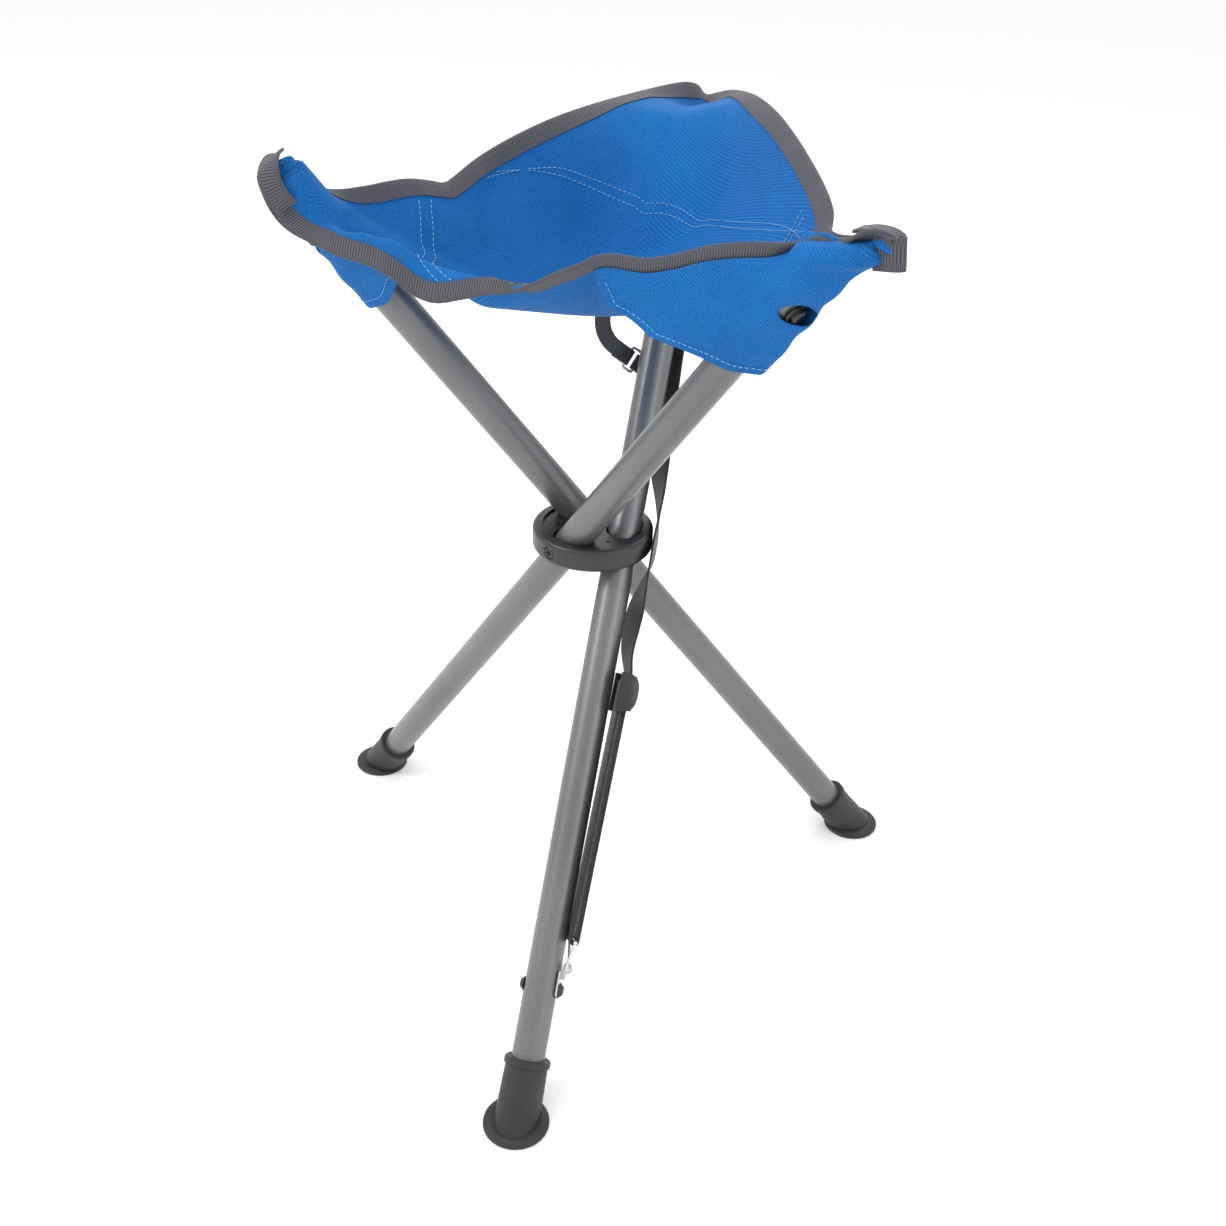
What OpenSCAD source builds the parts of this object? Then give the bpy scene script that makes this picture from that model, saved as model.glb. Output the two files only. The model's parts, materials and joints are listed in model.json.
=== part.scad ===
// Folding three-leg camp stool. Millimetres, +Z up, shown open on the ground (z = 0).
// Each leg is drawn upright in its own frame: x points outwards along its pivot screw,
// y is the side that faces away from the seat, z runs up the leg from the pivot.
// Leg 1 carries the straps. Legs 2 and 3 are the same leg turned by a third of a circle.

/* [Legs] */
// Outer diameter of a leg tube
tube_d = 22; // [18:0.5:27]
// Wall thickness of a leg tube
tube_wall = 1.2; // [0.8:0.1:2]
// Tube length above the pivot
leg_up = 296; // [245:1:360]
// Height of the pivots above the ground, stool open
pivot_h = 310; // [250:1:375]
// Lean of an open leg from upright
leg_tilt = 37; // [31:0.5:42]

/* [Hub] */
// Distance of each pivot from the stool's axis
pivot_r = 21; // [19:0.5:27]
// Height of the hub's rim
hub_t = 16; // [13:0.5:20]
// Depth of the recess inside the rim, on each face
hub_recess = 2; // [0:0.25:3]
// Width of the rim ring, seen from above
hub_rim_w = 6.5; // [5:0.5:8]
// Material outside each slot
hub_wall = 8; // [6:0.5:12]
// Clearance round a tube in its slot
slot_gap = 0.5; // [0.4:0.05:1]
// Rounding of the rim's outer edges
hub_round = 3; // [1:0.5:5]
// Diameter of the small moulding holes in the webs
web_hole_d = 2.4; // [1:0.1:4]

/* [Fasteners] */
// Shank diameter of the pivot screws
pivot_d = 4.6; // [3:0.1:6]
// Shank diameter of the seat screws
seat_screw_d = 4.4; // [3:0.1:6]
// Shank diameter of the strap rivet
rivet_d = 4.8; // [3:0.1:6]
// Radial clearance of every shank in its hole
fit = 0.05; // [0.02:0.01:0.1]

/* [Feet] */
// Length of the sleeve up the leg
foot_len = 42; // [34:1:56]
// Wall of the sleeve
foot_wall = 3; // [2:0.25:4.5]
// Diameter of the flange on the ground
flange_d = 43; // [40:1:50]
// Thickness of the flange
flange_t = 4; // [3:0.25:6]
// Rubber under the tube's end, along the leg
foot_sole = 15; // [13:0.5:20]

/* [Seat] */
// How far the seat's corners reach past the ends of the leg tubes
seat_over = 14; // [10:0.5:20]
// Height of the seat's corner above the leg's axis
seat_lift = 10; // [8:0.5:16]
// Drop of the seat's middle below its corners
seat_drop = 98; // [80:1:110]
// Drop of the middle of the edge from corner 1 to corner 2, below the corners
edge_drop_1 = 24; // [10:1:50]
// Drop of the middle of the edge from corner 2 to corner 3, below the corners
edge_drop_2 = 56; // [25:1:68]
// Rise of the middle of the edge from corner 3 to corner 1, where slack cloth stands up
edge_rise_3 = 16; // [-30:1:22]
// How far each edge curves in
edge_bow = 12; // [8:1:30]
// Thickness of the seat cloth with its lining
cloth_t = 1.2; // [0.8:0.1:2]
// Width of the edge tape
tape_w = 10; // [7:0.5:14]
// Thickness of the folded edge tape
tape_t = 2.4; // [1.5:0.1:4]
// Length of a leg pocket, along the leg
pocket_len = 96; // [80:1:115]

/* [Straps] */
// Width of the shoulder strap
strap_w = 24; // [18:1:30]
// Thickness of the webbing
strap_t = 1.4; // [1:0.1:2]
// Width of the closure strap
closure_w = 11; // [9:0.5:18]
// Wire diameter of the hook and the closure ring
wire_d = 2.2; // [1.6:0.1:2.8]

/* [Hidden] */
$fn = 64;

// Finishes
grey_paint = [0.60, 0.61, 0.62];
black_plastic = [0.10, 0.11, 0.12];
rubber = [0.16, 0.17, 0.18];
blue_cloth = [0.05, 0.37, 0.69];
charcoal_tape = [0.33, 0.33, 0.36];
black_webbing = [0.10, 0.10, 0.11];
dark_steel = [0.20, 0.20, 0.21];
bright_steel = [0.78, 0.79, 0.80];

// Legs and hub
tube_r = tube_d / 2;
slot_r = tube_r + slot_gap;
hub_r = pivot_r + slot_r + hub_wall;
leg_down = pivot_h / cos(leg_tilt);
tube_end = -(leg_down - foot_sole);

// Feet: centre of foot 1 on the ground, from the stool's axis
foot_x = pivot_r;
foot_y = -pivot_h * tan(leg_tilt);
foot_r = tube_r + foot_wall;

// Seat: corner 1 is above leg 1, away from foot 1
seat_reach = leg_up + seat_over;
tip_y = seat_reach * sin(leg_tilt);
tip_r = norm([pivot_r, tip_y]);
tip_angle = atan2(tip_y, pivot_r);
tip_z = pivot_h + seat_reach * cos(leg_tilt) + seat_lift;
seat_low = tip_z - seat_drop;
dish_round = 0.15;
edge_drops = [edge_drop_1, edge_drop_2, -edge_rise_3];
seam_gap = 0.4;
corner_w = tube_d;
edge_steps = 12;
ring_steps = 8;

// Pockets: play round the tube, and where they close past its end
pocket_gap = 1;
pocket_top = leg_up + 6;
hem_z = pocket_top - pocket_len;

// The model's origin is on the ground under the middle of its outline
function turn(p, a) = [p[0] * cos(a) - p[1] * sin(a), p[0] * sin(a) + p[1] * cos(a)];
flange_r = flange_d / 2;
east = turn([foot_x, foot_y], 120)[0] + flange_r;
west = turn([foot_x, foot_y], 240)[0] - flange_r;
north = pocket_top * sin(leg_tilt) + (tube_r + pocket_gap + cloth_t) * cos(leg_tilt);
south = foot_y - flange_r;
origin = [-(east + west) / 2, -(north + south) / 2, 0];

// Puts what is drawn round the stool's axis in its place
module stool() {
    translate(origin) children();
}

// Puts what is drawn in the frame of leg k, k from 1 to 3, in its place
module on_leg(k) {
    stool() rotate(120 * (k - 1)) translate([pivot_r, 0, pivot_h]) rotate([-leg_tilt, 0, 0]) children();
}

// Turns a shape drawn along z to lie along x or y
module along_x() {
    rotate([0, 90, 0]) children();
}
module along_y() {
    rotate([-90, 0, 0]) children();
}

// ---------------------------------------------------------------- hub

pivot_head_d = 8.4;
pivot_head_t = 2.2;
pivot_head_x = hub_r - pivot_head_t;
screw_end_x = 4.6;
web_hole_x = pivot_r + 3;
web_hole_angle = 70;

module hub_profile() {
    square([hub_r - hub_round, hub_t]);
    translate([0, hub_round]) square([hub_r, hub_t - 2 * hub_round]);
    translate([hub_r - hub_round, hub_round]) circle(hub_round);
    translate([hub_r - hub_round, hub_t - hub_round]) circle(hub_round);
}

module hub_slot() {
    translate([pivot_r, 0, 0]) cylinder(r = slot_r, h = hub_t + 2, center = true);
    translate([pivot_r, 0, 0]) rotate([-leg_tilt, 0, 0]) cylinder(r = slot_r, h = 4 * hub_t, center = true);
}

module pivot_hole() {
    end_room = 0.3;
    head_room = 0.2;
    translate([screw_end_x - end_room, 0, 0]) along_x() cylinder(d = pivot_d + 2 * fit, h = hub_r);
    translate([pivot_head_x, 0, 0]) along_x() cylinder(d = pivot_head_d + 2 * head_room, h = hub_r);
}

module hub() {
    color(black_plastic) stool() translate([0, 0, pivot_h]) difference() {
        translate([0, 0, -hub_t / 2]) rotate_extrude() intersection() {
            hub_profile();
            square([2 * hub_r, 2 * hub_t]);
        }
        for (side = [-1, 1]) {
            translate([0, 0, side * hub_t / 2]) cylinder(r = hub_r - hub_rim_w, h = 2 * hub_recess, center = true);
        }
        for (k = [0:2]) rotate(120 * k) {
            hub_slot();
            pivot_hole();
            rotate(web_hole_angle) translate([web_hole_x, 0, 0]) cylinder(d = web_hole_d, h = 2 * hub_t, center = true);
        }
    }
}

// Cross recess of a screw head, cut down from z = 0
module cross_recess(across, depth) {
    for (a = [0, 90]) rotate(a) cube([across, across / 5, 2 * depth], center = true);
}

module pivot_screw(k) {
    chamfer = 0.7;
    color(dark_steel) on_leg(k) translate([-pivot_r, 0, 0]) along_x() difference() {
        union() {
            translate([0, 0, screw_end_x]) cylinder(d = pivot_d, h = pivot_head_x - screw_end_x + 0.1);
            translate([0, 0, pivot_head_x]) cylinder(d = pivot_head_d, h = pivot_head_t - chamfer);
            translate([0, 0, hub_r - chamfer])
                cylinder(d1 = pivot_head_d, d2 = pivot_head_d - 2 * chamfer, h = chamfer);
        }
        translate([0, 0, hub_r]) rotate(leg_tilt) cross_recess(5, 1.3);
    }
}

// ---------------------------------------------------------------- legs

// Place of the seat screw and the strap rivet along a leg
seat_screw_z = leg_up - 32;
rivet_z = -leg_down + 88;
washer_t = 1.2;

module tube(k) {
    color(grey_paint) on_leg(k) difference() {
        translate([0, 0, tube_end]) cylinder(r = tube_r, h = leg_up - tube_end);
        translate([0, 0, tube_end - 1]) cylinder(r = tube_r - tube_wall, h = leg_up - tube_end + 2);
        along_x() cylinder(d = pivot_d + 2 * fit, h = 2 * tube_d, center = true);
        translate([0, 0, seat_screw_z]) along_y()
            cylinder(d = seat_screw_d + 2 * fit, h = 2 * tube_d, center = true);
        if (k == 1) translate([0, 0, rivet_z]) along_x()
            cylinder(d = rivet_d + 2 * fit, h = 2 * tube_d, center = true);
    }
}

module end_plug(k) {
    cap_t = 3;
    color(black_plastic) on_leg(k) translate([0, 0, leg_up + 0.05]) {
        translate([0, 0, -12]) cylinder(r = tube_r - tube_wall - fit, h = 12.1);
        cylinder(r = tube_r - 0.2, h = cap_t - 1);
        translate([0, 0, cap_t - 1]) cylinder(r1 = tube_r - 0.2, r2 = tube_r - 1.2, h = 1);
    }
}

// Sleeve round the tube, with a bead round its mouth, drawn up from the ground
module foot_sleeve() {
    bead = 1.2;
    rotate_extrude() polygon([
        [0, -20], [foot_r + 1.2, -20], [foot_r, foot_len - 5],
        [foot_r + bead, foot_len - 4.2], [foot_r + bead, foot_len - 1], [foot_r + bead - 0.8, foot_len],
        [0, foot_len]
    ]);
}

// Flange that lies flat on the ground, thin at its edge
module foot_flange() {
    rotate_extrude() polygon([
        [0, 0], [flange_r - 0.6, 0], [flange_r, 0.6], [flange_r, flange_t / 2],
        [flange_r - 1, flange_t / 2 + 0.8], [foot_r + 3, flange_t], [0, flange_t]
    ]);
}

module foot(k) {
    color(rubber) intersection() {
        on_leg(k) difference() {
            translate([0, 0, -leg_down]) {
                foot_sleeve();
                rotate([leg_tilt, 0, 0]) foot_flange();
            }
            translate([0, 0, tube_end - 0.1]) cylinder(r = tube_r + fit, h = leg_down);
        }
        translate([-pivot_h * 2, -pivot_h * 2, 0]) cube([pivot_h * 4, pivot_h * 4, pivot_h]);
    }
}

// ---------------------------------------------------------------- seat fasteners

module seat_screw(k) {
    head_d = 9;
    head_t = 3;
    reach = 2 * tube_r + washer_t + 4;
    color(dark_steel) on_leg(k) translate([0, tube_r + washer_t + 0.1, seat_screw_z]) along_y() difference() {
        union() {
            translate([0, 0, -reach]) cylinder(d = seat_screw_d, h = reach + 0.1);
            cylinder(d = head_d, h = head_t - 1);
            translate([0, 0, head_t - 1]) cylinder(d1 = head_d, d2 = head_d - 2.4, h = 1);
        }
        translate([0, 0, head_t - 1.8]) cylinder(d = 4, h = 3, $fn = 6);
    }
}

module seat_washer(k) {
    color(dark_steel) on_leg(k) translate([0, tube_r + 0.05, seat_screw_z]) along_y() difference() {
        cylinder(d = 14, h = washer_t);
        translate([0, 0, -1]) cylinder(d = seat_screw_d + 2 * fit, h = washer_t + 2);
    }
}

module seat_nut(k) {
    nut_t = 3;
    color(dark_steel) on_leg(k) translate([0, -tube_r - 0.05, seat_screw_z]) along_y() difference() {
        translate([0, 0, -nut_t]) cylinder(d = 8.1, h = nut_t, $fn = 6);
        translate([0, 0, -nut_t - 1]) cylinder(d = seat_screw_d + 2 * fit, h = nut_t + 2);
    }
}

// ---------------------------------------------------------------- seat

// Middle line of the seat's outline, from corner to corner, counter-clockwise
function corner(k, side) =
    concat(turn([tip_r, side * corner_w / 2], tip_angle + 120 * k), [tip_z]);

function edge_point(k, w, drop) =
    let(a = corner(k, 1), b = corner(k + 1, -1), hump = 4 * w * (1 - w))
    let(inward = turn([-edge_bow * hump, 0], tip_angle + 120 * k + 60))
    [a[0] + (b[0] - a[0]) * w + inward[0], a[1] + (b[1] - a[1]) * w + inward[1], tip_z - drop * hump];

outline = [for (k = [0:2]) for (i = [0:edge_steps]) edge_point(k, i / edge_steps, edge_drops[k])];

function dish(rho) =
    (sqrt(rho * rho + dish_round * dish_round) - dish_round) / (sqrt(1 + dish_round * dish_round) - dish_round);

// Point of the sheet on the ray to outline point e, rho from 0 (middle) to 1 (edge)
function sheet_point(e, rho) =
    [e[0] * rho, e[1] * rho, seat_low + (e[2] - seat_low) * dish(rho)];

// Share of the ray at which the tape's inner edge lies
function tape_start(e) = 1 - tape_w / norm([e[0], e[1]]);

function lifted(points, dz) = [for (p = points) [p[0], p[1], p[2] + dz]];

function quad(a, b, c, d) = [[a, b, c], [a, c, d]];

// Faces between ring a and the ring b above or inside it, both of n points, closed round
function band(a, b, n) = [for (i = [0:n - 1]) let(j = (i + 1) % n) each quad(a + i, b + i, b + j, a + j)];

module seat_panel() {
    n = len(outline);
    shares = [for (j = [1:ring_steps]) j / ring_steps];
    sheet = concat([[0, 0, seat_low]],
        [for (s = shares) for (e = outline) sheet_point(e, s * (tape_start(e) - seam_gap / tip_r))]);
    m = len(sheet);
    top = concat(
        [for (i = [0:n - 1]) [0, 1 + (i + 1) % n, 1 + i]],
        [for (j = [1:ring_steps - 1]) each band(1 + n * j, 1 + n * (j - 1), n)]);
    underside = [for (f = top) [f[0] + m, f[2] + m, f[1] + m]];
    rim = 1 + n * (ring_steps - 1);
    wall = band(m + rim, rim, n);
    color(blue_cloth) stool()
        polyhedron(concat(lifted(sheet, cloth_t / 2), lifted(sheet, -cloth_t / 2)), concat(top, underside, wall));
}

module edge_tape() {
    n = len(outline);
    inner = [for (e = outline) sheet_point(e, tape_start(e))];
    outer = outline;
    points = concat(lifted(inner, tape_t / 2), lifted(outer, tape_t / 2),
        lifted(outer, -tape_t / 2), lifted(inner, -tape_t / 2));
    color(charcoal_tape) stool()
        polyhedron(points, concat(band(n, 0, n), band(2 * n, n, n), band(3 * n, 2 * n, n), band(0, 3 * n, n)));
}

// Pocket round the top of a leg, hung from the two edges that meet at the corner
pocket_reach = 0.3;
pocket_steps = 6;
under_angles = [for (t = [-80:20:80]) t];

// From the stool's frame into the frame of leg 1
function to_leg(p) = [
    p[0] - pivot_r,
    p[1] * cos(leg_tilt) - (p[2] - pivot_h) * sin(leg_tilt),
    p[1] * sin(leg_tilt) + (p[2] - pivot_h) * cos(leg_tilt)
];

// Cross-section of leg k's pocket, v from 0 (hem) to 1 (corner), moved outwards by grow
function pocket_ring(k, v, grow) =
    let(w = pocket_reach * (1 - v), inset = 0.96, below = tape_t / 2 + 2)
    let(left = edge_point(0, w, edge_drops[k - 1]), right = edge_point(2, 1 - w, edge_drops[(k + 1) % 3]))
    let(a = to_leg(sheet_point(left, inset) - [0, 0, below]), b = to_leg(sheet_point(right, inset) - [0, 0, below]))
    let(r = tube_r + pocket_gap + grow, z = pocket_top - pocket_len * (1 - v))
    concat(
        [[a[0] - grow, a[1], a[2]]],
        [for (t = under_angles) [r * sin(t), r * cos(t), z]],
        [[b[0] + grow, b[1], b[2]]]);

module pocket_shell(k) {
    n = len(under_angles) + 2;
    inside = [for (i = [0:pocket_steps]) each pocket_ring(k, i / pocket_steps, 0)];
    outside = [for (i = [0:pocket_steps]) each pocket_ring(k, i / pocket_steps, cloth_t)];
    m = len(inside);
    squares = [for (i = [0:pocket_steps - 1]) for (j = [0:n - 2]) n * i + j];
    last = n * pocket_steps;
    polyhedron(concat(inside, outside), concat(
        [for (p = squares) each quad(p, p + n, p + n + 1, p + 1)],
        [for (p = squares) each quad(m + p, m + p + 1, m + p + n + 1, m + p + n)],
        [for (p = [0:n - 2]) each quad(p, p + 1, m + p + 1, m + p)],
        [for (p = [last:last + n - 2]) each quad(m + p, m + p + 1, p + 1, p)],
        [for (p = [0:n:last - n]) each quad(m + p, m + p + n, p + n, p)],
        [for (p = [n - 1:n:last - 1]) each quad(m + p + n, m + p, p, p + n)]));
}

// Slot in the pocket over the seat screw
module screw_window() {
    window_w = 17;
    window_l = 26;
    straight = window_l - window_w;
    translate([0, 0, seat_screw_z]) {
        translate([-window_w / 2, 0, -straight / 2]) cube([window_w, 3 * tube_r, straight]);
        for (side = [-1, 1]) translate([0, 0, side * straight / 2]) along_y() cylinder(d = window_w, h = 3 * tube_r);
    }
}

module pocket(k) {
    color(blue_cloth) on_leg(k) difference() {
        pocket_shell(k);
        screw_window();
    }
}

// ---------------------------------------------------------------- straps

// A flat strap along route, each point [x, y, z, twist, rise]. Its width lies along y at twist 0
// and along x at twist 90, and is tipped up by rise.
function strap_ring(route, i, width, thick) =
    let(n = len(route), p = route[i], a = route[max(i - 1, 0)], b = route[min(i + 1, n - 1)])
    let(d = [b[0] - a[0], b[1] - a[1], b[2] - a[2]], t = d / norm(d), w0 = width_way(p[3], p[4]))
    let(w1 = w0 - (w0 * t) * t, w = w1 / norm(w1) * width / 2, s = cross(w1 / norm(w1), t) * thick / 2)
    let(c = [p[0], p[1], p[2]])
    [c + w + s, c + w - s, c - w - s, c - w + s];

function width_way(twist, rise) = [sin(twist) * cos(rise), cos(twist) * cos(rise), sin(rise)];

module flat_strap(route, width, thick) {
    n = len(route);
    points = [for (i = [0:n - 1]) each strap_ring(route, i, width, thick)];
    ends = [[0, 1, 2], [0, 2, 3], [4 * n - 4, 4 * n - 2, 4 * n - 3], [4 * n - 4, 4 * n - 1, 4 * n - 2]];
    walls = [for (i = [0:n - 2]) each band(4 * i, 4 * i + 4, 4)];
    polyhedron(points, concat(ends, walls));
}

// Distance of a strap's middle from the middle of the bar that it goes round
layer_gap = wire_d + 0.9;
layer_off = (layer_gap + strap_t) / 2;

// Route that comes to a bar along dir on its normal side, goes round it and runs back.
// outs and ins are the distances from the bar, and turned is the strap's twist and rise.
function round_bar(bar, dir, normal, turned, outs, ins) = concat(
    [for (s = outs) concat(bar - dir * s + normal * layer_off, turned)],
    [for (a = [22.5:22.5:157.5]) concat(bar + normal * layer_off * cos(a) + dir * layer_off * sin(a), turned)],
    [for (s = ins) concat(bar - dir * s - normal * layer_off, turned)]);

// Round wire from point a to point b, with a knuckle at a that joins it to the wire before
module wire(a, b) {
    d = b - a;
    knuckle = 0.5;
    translate(a) rotate([0, acos(d[2] / norm(d)), atan2(d[1], d[0])]) cylinder(d = wire_d, h = norm(d));
    translate(a) sphere(d = wire_d + knuckle);
}

// Closed loop of wire through the points
module wire_loop(points) {
    n = len(points);
    for (i = [0:n - 1]) wire(points[i], points[(i + 1) % n]);
}

// Places on leg 1, in its frame: the doubled part of the shoulder strap is straight
strap_x = tube_r + 4;
hook_z = rivet_z + 34;
slider_z = -102;
double_top = [strap_x + 3.4, 2, slider_z + 8];
double_end = [strap_x, 0, hook_z];
double_twist = -20;
double_len = norm(double_end - double_top);
double_dir = (double_end - double_top) / double_len;
double_normal = [cos(double_twist), -sin(double_twist), 0];
double_rings = [for (i = [0:6]) double_len * i / 6];

// Where the shoulder strap clears the hub's rim
rim_pass = hub_r - pivot_r + strap_t / 2 + 1.2;

strap_upper = [
    [tube_r - 6, tube_r + 1, hem_z - 16, -67, 0], [tube_r - 5.8, tube_r + 1, hem_z - 36, -66, 0],
    [tube_r - 5, tube_r + 1, hem_z - 56, -63, 0], [tube_r - 4, tube_r + 1, 130, -59, 0],
    [tube_r - 2.8, tube_r + 1, 110, -56, 0], [tube_r - 1.3, tube_r + 0.8, 90, -52, 0],
    [tube_r + 0.8, tube_r + 0.4, 70, -46, 0], [rim_pass - 6.6, tube_r - 0.4, 50, -37, 0],
    [rim_pass - 2.8, 8.6, 32, -22, 0], [rim_pass - 0.6, 6, 16, -10, 0], [rim_pass, 4, 0, -5, 0],
    [rim_pass - 0.2, 4, -14, -8, 0], [rim_pass - 3.2, 7, -30, -24, 0], [rim_pass - 6, 9.6, -46, -38, 0],
    [tube_r + 4, 8.6, -62, -36, 0], [tube_r + 6, 4.4, -78, -26, 0]
];

strap_double = round_bar(double_end, double_dir, double_normal, [double_twist, 0],
    [for (i = [6:-1:0]) double_rings[i]], double_rings);

module shoulder_strap() {
    color(black_webbing) on_leg(1) flat_strap(concat(strap_upper, strap_double), strap_w, strap_t);
}

// Slider: two side rails, a bar between the layers and two bars over the outer one
module strap_slider() {
    rail_w = 3;
    rail_t = layer_gap + 2 * strap_t + 5;
    rail_x = 0.4;
    len_z = 26;
    bar = 4;
    inside_w = strap_w + 2;
    over_x = layer_off + strap_t / 2 + 0.7;
    lean = acos(-double_dir[2]);
    color(black_plastic) on_leg(1) translate(double_top + double_dir * 8)
        rotate([0, 0, -double_twist]) rotate([0, lean, 0]) {
            for (side = [-1, 1]) translate([rail_x, side * (inside_w + rail_w) / 2, 0])
                cube([rail_t, rail_w, len_z], center = true);
            cube([wire_d, inside_w + 0.2, bar], center = true);
            for (side = [-1, 1]) translate([over_x + 1.1, 0, side * (len_z - bar) / 2])
                cube([2.2, inside_w + 0.2, bar], center = true);
        }
}

// Wire link: a wide bar in the strap's turn, a narrow bar in the plate's ear
hook_half_w = strap_w * 0.54 + wire_d + 0.4;
hook_eye_z = hook_z - 19;

module strap_hook() {
    eye_half_w = 5;
    wide = [sin(double_twist), cos(double_twist), 0] * hook_half_w;
    top = [strap_x, 0, hook_z];
    eye = [strap_x, 0, hook_eye_z];
    narrow = [0, eye_half_w, 0];
    color(bright_steel) on_leg(1) wire_loop([top - wide, top + wide, eye + narrow, eye - narrow]);
}

// Plate riveted to the leg, with an ear that stands out and holds the hook
module hook_plate() {
    plate_t = 1.2;
    plate_w = 11;
    ear_r = 3.6;
    base_x = tube_r + 0.1;
    color(bright_steel) on_leg(1) difference() {
        union() {
            translate([base_x, 0, rivet_z]) along_x() cylinder(d = plate_w, h = plate_t);
            translate([base_x, -plate_w / 2, rivet_z]) cube([plate_t, plate_w, hook_eye_z - rivet_z - 2]);
            translate([base_x, -plate_t / 2, hook_eye_z - ear_r - 4]) cube([strap_x - base_x, plate_t, 2 * ear_r + 2]);
            translate([strap_x, -plate_t / 2, hook_eye_z]) along_y() cylinder(r = ear_r, h = plate_t);
        }
        translate([0, 0, rivet_z]) along_x() cylinder(d = rivet_d + 2 * fit, h = 3 * tube_r);
        translate([strap_x, 0, hook_eye_z]) along_y() cylinder(d = wire_d + 0.8, h = 10, center = true);
    }
}

module strap_rivet() {
    head_d = 10;
    head_t = 2.6;
    far = tube_r + 1.4;
    near = -tube_r - 0.1;
    color(dark_steel) on_leg(1) translate([0, 0, rivet_z]) along_x() {
        translate([0, 0, near]) cylinder(d = rivet_d, h = far - near);
        translate([0, 0, far]) cylinder(d1 = head_d, d2 = head_d * 0.55, h = head_t);
        translate([0, 0, near - head_t]) cylinder(d1 = head_d * 0.55, d2 = head_d, h = head_t);
    }
}

// Closure strap: comes down beside leg 1 to a wire ring, and its tail goes on behind the leg
ring_mid = [-tube_r - 6.5, tube_r - 4.5, hem_z - 82];
ring_rise = 68;
ring_swing = 35;
ring_half_l = 4;
ring_width = width_way(90, ring_rise);
ring_dir = [sin(ring_rise) * cos(ring_swing), sin(ring_swing), -cos(ring_rise) * cos(ring_swing)];
ring_normal = cross(ring_dir, ring_width);

closure_upper = [
    [-22, -2, hem_z - 3, 70, 0], [-29, -2.5, hem_z - 16, 80, 0], [-36, -2, hem_z - 32, 90, 0],
    [-40.5, -1.5, hem_z - 46, 90, 3], [-41.5, -1.5, hem_z - 57, 90, 12], [-38.5, -2, hem_z - 67, 90, 35],
    [-33, -2, hem_z - 74, 90, 55]
];
// The tail passes outside the shoulder strap, however wide that is
tail_out = tube_r + 1 + 0.3 * strap_w;
closure_under = [
    [4, tube_r + 4.5, hem_z + 8, 90, 180], [4, tube_r + 5.5, hem_z - 2, 90, 180],
    [4, tail_out + 0.2, hem_z - 13, 90, 180], [4, tail_out + 0.4, hem_z - 36, 90, 180],
    [4, tail_out + 0.8, hem_z - 56, 90, 174], [3, tail_out + 1.2, hem_z - 70, 90, 155],
    [-1, tail_out + 2.6, hem_z - 79, 90, 125], [-8, tail_out + 0.4, hem_z - 83.5, 90, 85]
];

module closure_strap() {
    color(black_webbing) on_leg(1) flat_strap(concat(closure_upper, round_bar(ring_mid - ring_dir * ring_half_l,
        ring_dir, ring_normal, [90, ring_rise], [8, 4, 0], [0, 5, 10])), closure_w, strap_t);
}

module closure_tail() {
    color(black_webbing) on_leg(1) flat_strap(concat(closure_under, round_bar(ring_mid + ring_dir * ring_half_l,
        -ring_dir, -ring_normal, [90, ring_rise], [6, 3, 0], [0, 4, 8])), closure_w, strap_t);
}

module closure_ring() {
    along = ring_dir * ring_half_l;
    across = ring_width * (closure_w / 2 + wire_d);
    color(bright_steel) on_leg(1) translate(ring_mid)
        wire_loop([across - along, across + along, along - across, -across - along]);
}

// ---------------------------------------------------------------- nodes

hub();
pivot_screw(1);  // pivot_screw_1
pivot_screw(2);  // pivot_screw_2
pivot_screw(3);  // pivot_screw_3
tube(1);  // tube_1
tube(2);  // tube_2
tube(3);  // tube_3
end_plug(1);  // end_plug_1
end_plug(2);  // end_plug_2
end_plug(3);  // end_plug_3
foot(1);  // foot_1
foot(2);  // foot_2
foot(3);  // foot_3
seat_screw(1);  // seat_screw_1
seat_screw(2);  // seat_screw_2
seat_screw(3);  // seat_screw_3
seat_washer(1);  // seat_washer_1
seat_washer(2);  // seat_washer_2
seat_washer(3);  // seat_washer_3
seat_nut(1);  // seat_nut_1
seat_nut(2);  // seat_nut_2
seat_nut(3);  // seat_nut_3
seat_panel();
edge_tape();
pocket(1);  // pocket_1
pocket(2);  // pocket_2
pocket(3);  // pocket_3
shoulder_strap();
strap_slider();
strap_hook();
hook_plate();
strap_rivet();
closure_strap();
closure_tail();
closure_ring();
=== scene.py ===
import json
import math

import bmesh
import bpy
import numpy as np
from mathutils import Matrix, Quaternion, Vector


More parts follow.
